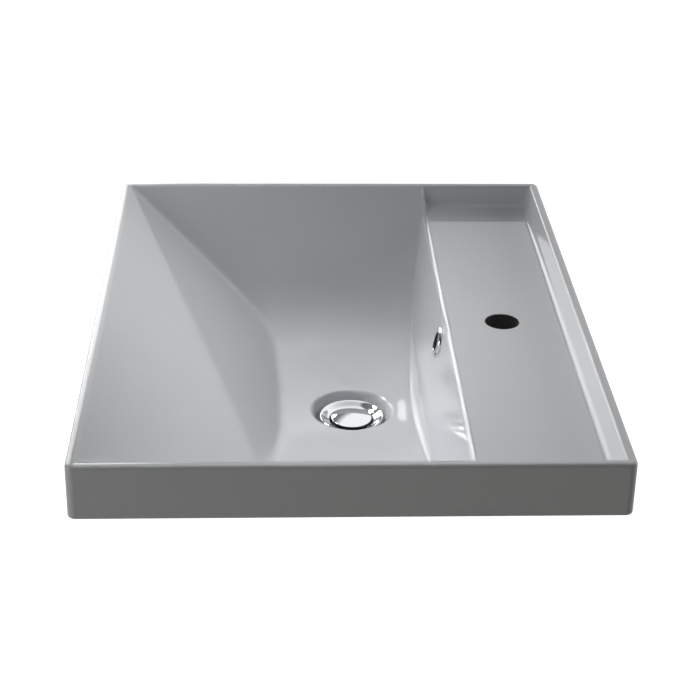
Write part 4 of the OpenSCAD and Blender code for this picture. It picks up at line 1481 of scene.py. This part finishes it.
    def pieces(self) -> list[tuple[bpy.types.Object, str, str, Slot]]:
        """Builds every piece of the fitting.

        Returns:
            Each piece with the node it stands for, its body and its slot.
        """
        high, low = self.boss_low, self.boss_low - self.cone_base
        bore = self.tail_d / 2 + self.fit
        lid = self.cart_d / 2 + self.fit
        hole = self.neck_d / 2 + self.run_gap
        top, skirt = self.cart_top, self.cart_top - self.lid_t
        return [
            (self.make_flange(), "waste_body", "basin", Slot.CHROME),
            (self.make_plug(), "plug_cap", "plug", Slot.CHROME),
            (self.make_plug_seal(), "plug_seal", "plug", Slot.RUBBER),
            (self.make_stem(), "plug_stem", "plug", Slot.BRASS),
            (self.hex_nut("stem_lock_nut", self.nut_d, (self.neck_top, self.hub_low),
                          self.stem_d + 2 * self.fit), "stem_nut", "plug", Slot.BRASS),
            (self.make_plunger(), "click_plunger", "plug", Slot.PLUNGER),
            (self.make_cam(), "click_cam", "cam", Slot.CAM),
            (self.make_spring(), "click_spring", "basin", Slot.WIRE),
            (self.make_cartridge(), "cartridge_body", "basin", Slot.CARTRIDGE),
            (self.spin("cartridge_lid", [
                (hole, skirt, 0.3), (lid, skirt, 0), (lid, skirt - self.lid_skirt, 0.2),
                (lid + 1, skirt - self.lid_skirt, 0.3), (lid + 1, top, 0.6), (hole, top, 0.4)], 72),
             "cartridge_cap", "basin", Slot.CARTRIDGE),
            (self.hex_nut("cartridge_lock_nut", self.cart_nut_d,
                          (self.bridge_z - self.bridge_t - self.cart_nut_h,
                           self.bridge_z - self.bridge_t), self.cart_d + 2 * self.fit),
             "cartridge_nut", "basin", Slot.BRASS),
            (self.washer("flange_washer", (bore, self.gasket_r), (self.seat_low, self.root_z),
                         (0.4, 0.6, 0.6, 0.4)), "flange_gasket", "basin", Slot.RUBBER),
            (self.spin("cone_washer", [
                (bore, low, 0.5), (self.cone_d / 2, low, 1.0), (self.cone_d / 2, high, 1.0),
                (self.hole_d / 2 - self.run_gap, high, 0.8),
                (self.tail_d / 2 + self.cone_lip, high + self.cone_top, 0.3),
                (bore, high + self.cone_top, 0.2)]), "cone_gasket", "basin", Slot.RUBBER),
            (self.washer("slip_ring", (bore, self.slip_d / 2), (low - self.slip_t, low),
                         (0.3, 0.4, 0.4, 0.3)), "slip_washer", "basin", Slot.WASHER),
            (self.make_back_nut(), "back_nut", "basin", Slot.BRASS),
        ]


@dataclass
class Studio:
    """Pale floor, soft lamps, white surroundings and the camera at the photo's angle."""

    floor_z: float = -0.9
    floor_size: float = 12.0
    camera_at: Point3 = (1.48561, -0.29214, 0.7920)
    dip: float = 27.14
    swing: float = 2.79
    roll: float = -1.11
    lens: float = 88.8
    fill_lean: Point3 = (-0.10, 0.0, 0.17)
    gloss_lean: Point3 = (-1.0, 0.0, 0.0)
    gloss_span: Point2 = (-0.7, 0.5)
    gloss_dim: float = 0.05
    rise_lean: Point3 = (0.0, 1.7, 1.0)
    rise_span: Point2 = (0.36, 0.54)
    rise_dim: float = 0.2
    floor_gleam: float = 0.5
    floor_grain_mm: float = 2.5
    lamps: tuple = (
        # place, aim, size in metres, power in watts, spread in degrees
        ((-2.85, -1.5, 0.95), (0.0, -0.2, 0.05), 2.1, 37.0, 180),
        ((1.1, -2.0, 0.65), (0.0, -0.2, 0.05), 1.2, 9.0, 180),
        ((-0.3, 2.0, 0.75), (0.0, -0.2, 0.05), 1.0, 9.4, 180),
        ((-0.9, -1.0, 1.2), (0.08, -0.29, -0.03), 0.3, 0.38, 24),
    )

    def make_camera(self) -> None:
        """Sets the camera that was fitted to the photo's rim, tap hole and waste."""
        dip, swing, roll = (math.radians(a) for a in (self.dip, self.swing, self.roll))
        ahead = Vector((-math.cos(swing) * math.cos(dip), math.sin(swing) * math.cos(dip),
                        -math.sin(dip)))
        right = Vector((math.sin(swing), math.cos(swing), 0))
        down = ahead.cross(right)
        right, down = (right * math.cos(roll) + down * math.sin(roll),
                       down * math.cos(roll) - right * math.sin(roll))
        data = bpy.data.cameras.new("camera")
        data.lens, data.sensor_width, data.clip_end = self.lens, 36.0, 100.0
        camera = bpy.data.objects.new("camera", data)
        camera.matrix_world = Matrix.Translation(self.camera_at) @ Matrix(
            (right, -down, -ahead)).transposed().to_4x4()
        bpy.context.scene.collection.objects.link(camera)
        bpy.context.scene.camera = camera

    def make_world(self) -> None:
        """Makes the room around the basin.

        The camera sees it white. As a lamp it is a weak fill from the -X end and from above.
        In reflections it is bright at the -X end and dark at the +X end, and dim where it is
        low and away from the wall.
        """
        world = bpy.data.worlds.new("studio_room")
        world.use_nodes = True
        tree = world.node_tree
        tree.nodes.clear()
        way = add_node(tree, "ShaderNodeTexCoord").outputs["Generated"]
        rays = add_node(tree, "ShaderNodeLightPath").outputs
        lean, side, high = (vectors(tree, "DOT_PRODUCT", way, axis, "Value")
                            for axis in (self.fill_lean, self.gloss_lean, self.rise_lean))
        gleam = maths(tree, "MULTIPLY", remap(tree, side, (self.gloss_dim, 1.0), self.gloss_span),
                      remap(tree, high, (self.rise_dim, 1.0), self.rise_span))
        room, mirror, white = (
            add_node(tree, "ShaderNodeBackground", {
                "Color": linear("ffffff"), "Strength": strength}).outputs[0]
            for strength in (maths(tree, "MAXIMUM", lean, 0.0), gleam, 1.0))
        bright = maths(tree, "MAXIMUM", rays["Is Glossy Ray"], rays["Is Transmission Ray"])
        both = add_node(tree, "ShaderNodeMixShader", {0: bright, 1: room, 2: mirror})
        seen = add_node(tree, "ShaderNodeMixShader", {
            0: rays["Is Camera Ray"], 1: both.outputs[0], 2: white})
        add_node(tree, "ShaderNodeOutputWorld", {"Surface": seen.outputs[0]})
        bpy.context.scene.world = world

    def make_floor(self) -> None:
        """Lays a pale floor that reads as white to the camera and keeps the basin's soft shadow."""
        floor = added(bpy.ops.mesh.primitive_plane_add, size=self.floor_size,
                      location=(0, 0, self.floor_z))
        floor.name = "studio_floor"
        # Pale matt plaster that glows just enough for the camera to see it white.
        material, tree, place = open_material("pale_studio_floor")
        rays = add_node(tree, "ShaderNodeLightPath").outputs
        mirrored = maths(tree, "MULTIPLY", rays["Is Glossy Ray"], self.floor_gleam)
        grain = noise(tree, place, self.floor_grain_mm, 2.0)
        floor.data.materials.append(close_material(material, {
            "Base Color": mixed(tree, grain, "b8b2a8", "b4aea4"), "Roughness": 0.9,
            "Emission Color": linear("ffffff"),
            "Emission Strength": maths(tree, "MAXIMUM", rays["Is Camera Ray"], mirrored)}))

    def make_lamps(self) -> None:
        """Hangs the soft boxes."""
        for index, (place, aim, size, power, spread) in enumerate(self.lamps):
            data = bpy.data.lights.new(f"soft_box_{index}", "AREA")
            data.shape, data.size, data.energy = "DISK", size, power
            data.spread = math.radians(spread)
            lamp = bpy.data.objects.new(f"soft_box_{index}", data)
            lamp.matrix_world = Matrix.Translation(place) @ (
                Vector(aim) - Vector(place)).to_track_quat("-Z", "Y").to_matrix().to_4x4()
            bpy.context.scene.collection.objects.link(lamp)


def main() -> None:
    """Builds and dresses every piece, then the studio."""
    logging.basicConfig(level=logging.INFO, format="%(message)s")
    bpy.context.scene.view_settings.view_transform = "Standard"
    studio = Studio()
    studio.make_camera()
    look = finishes()
    overflow, waste = Overflow(), WasteFitting()
    pieces = [
        (ClayBody().make(look[Slot.CERAMIC]), "basin", "basin", Slot.CERAMIC),
        (overflow.make_ring(), "overflow_ring", "basin", Slot.CHROME),
        (overflow.make_seal(), "overflow_seal", "basin", Slot.RUBBER),
        *waste.pieces(),
    ]
    # The overflow ring's chrome carries painted shade inside its opening.
    mouth = replace(CHROME, name="chrome_ring_painted_shade", painted_shade_inside=overflow.painted_shade_inside()).make()
    for piece, node, body, slot in pieces:
        dress(piece, mouth if node == "overflow_ring" else look[slot], slot)
        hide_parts(node)
        if node == "click_spring":
            start, end = ((0.0, y * MM, z * MM) for y, z in waste.spring_ends())
            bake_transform(piece)
            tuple(start)
            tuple(end)
        else:
            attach(piece, body)
        log.info("%s: %d faces, stands for %s", piece.name, len(piece.data.polygons), node)
    studio.make_world()
    studio.make_floor()
    studio.make_lamps()


if __name__ == "__main__":
    main()
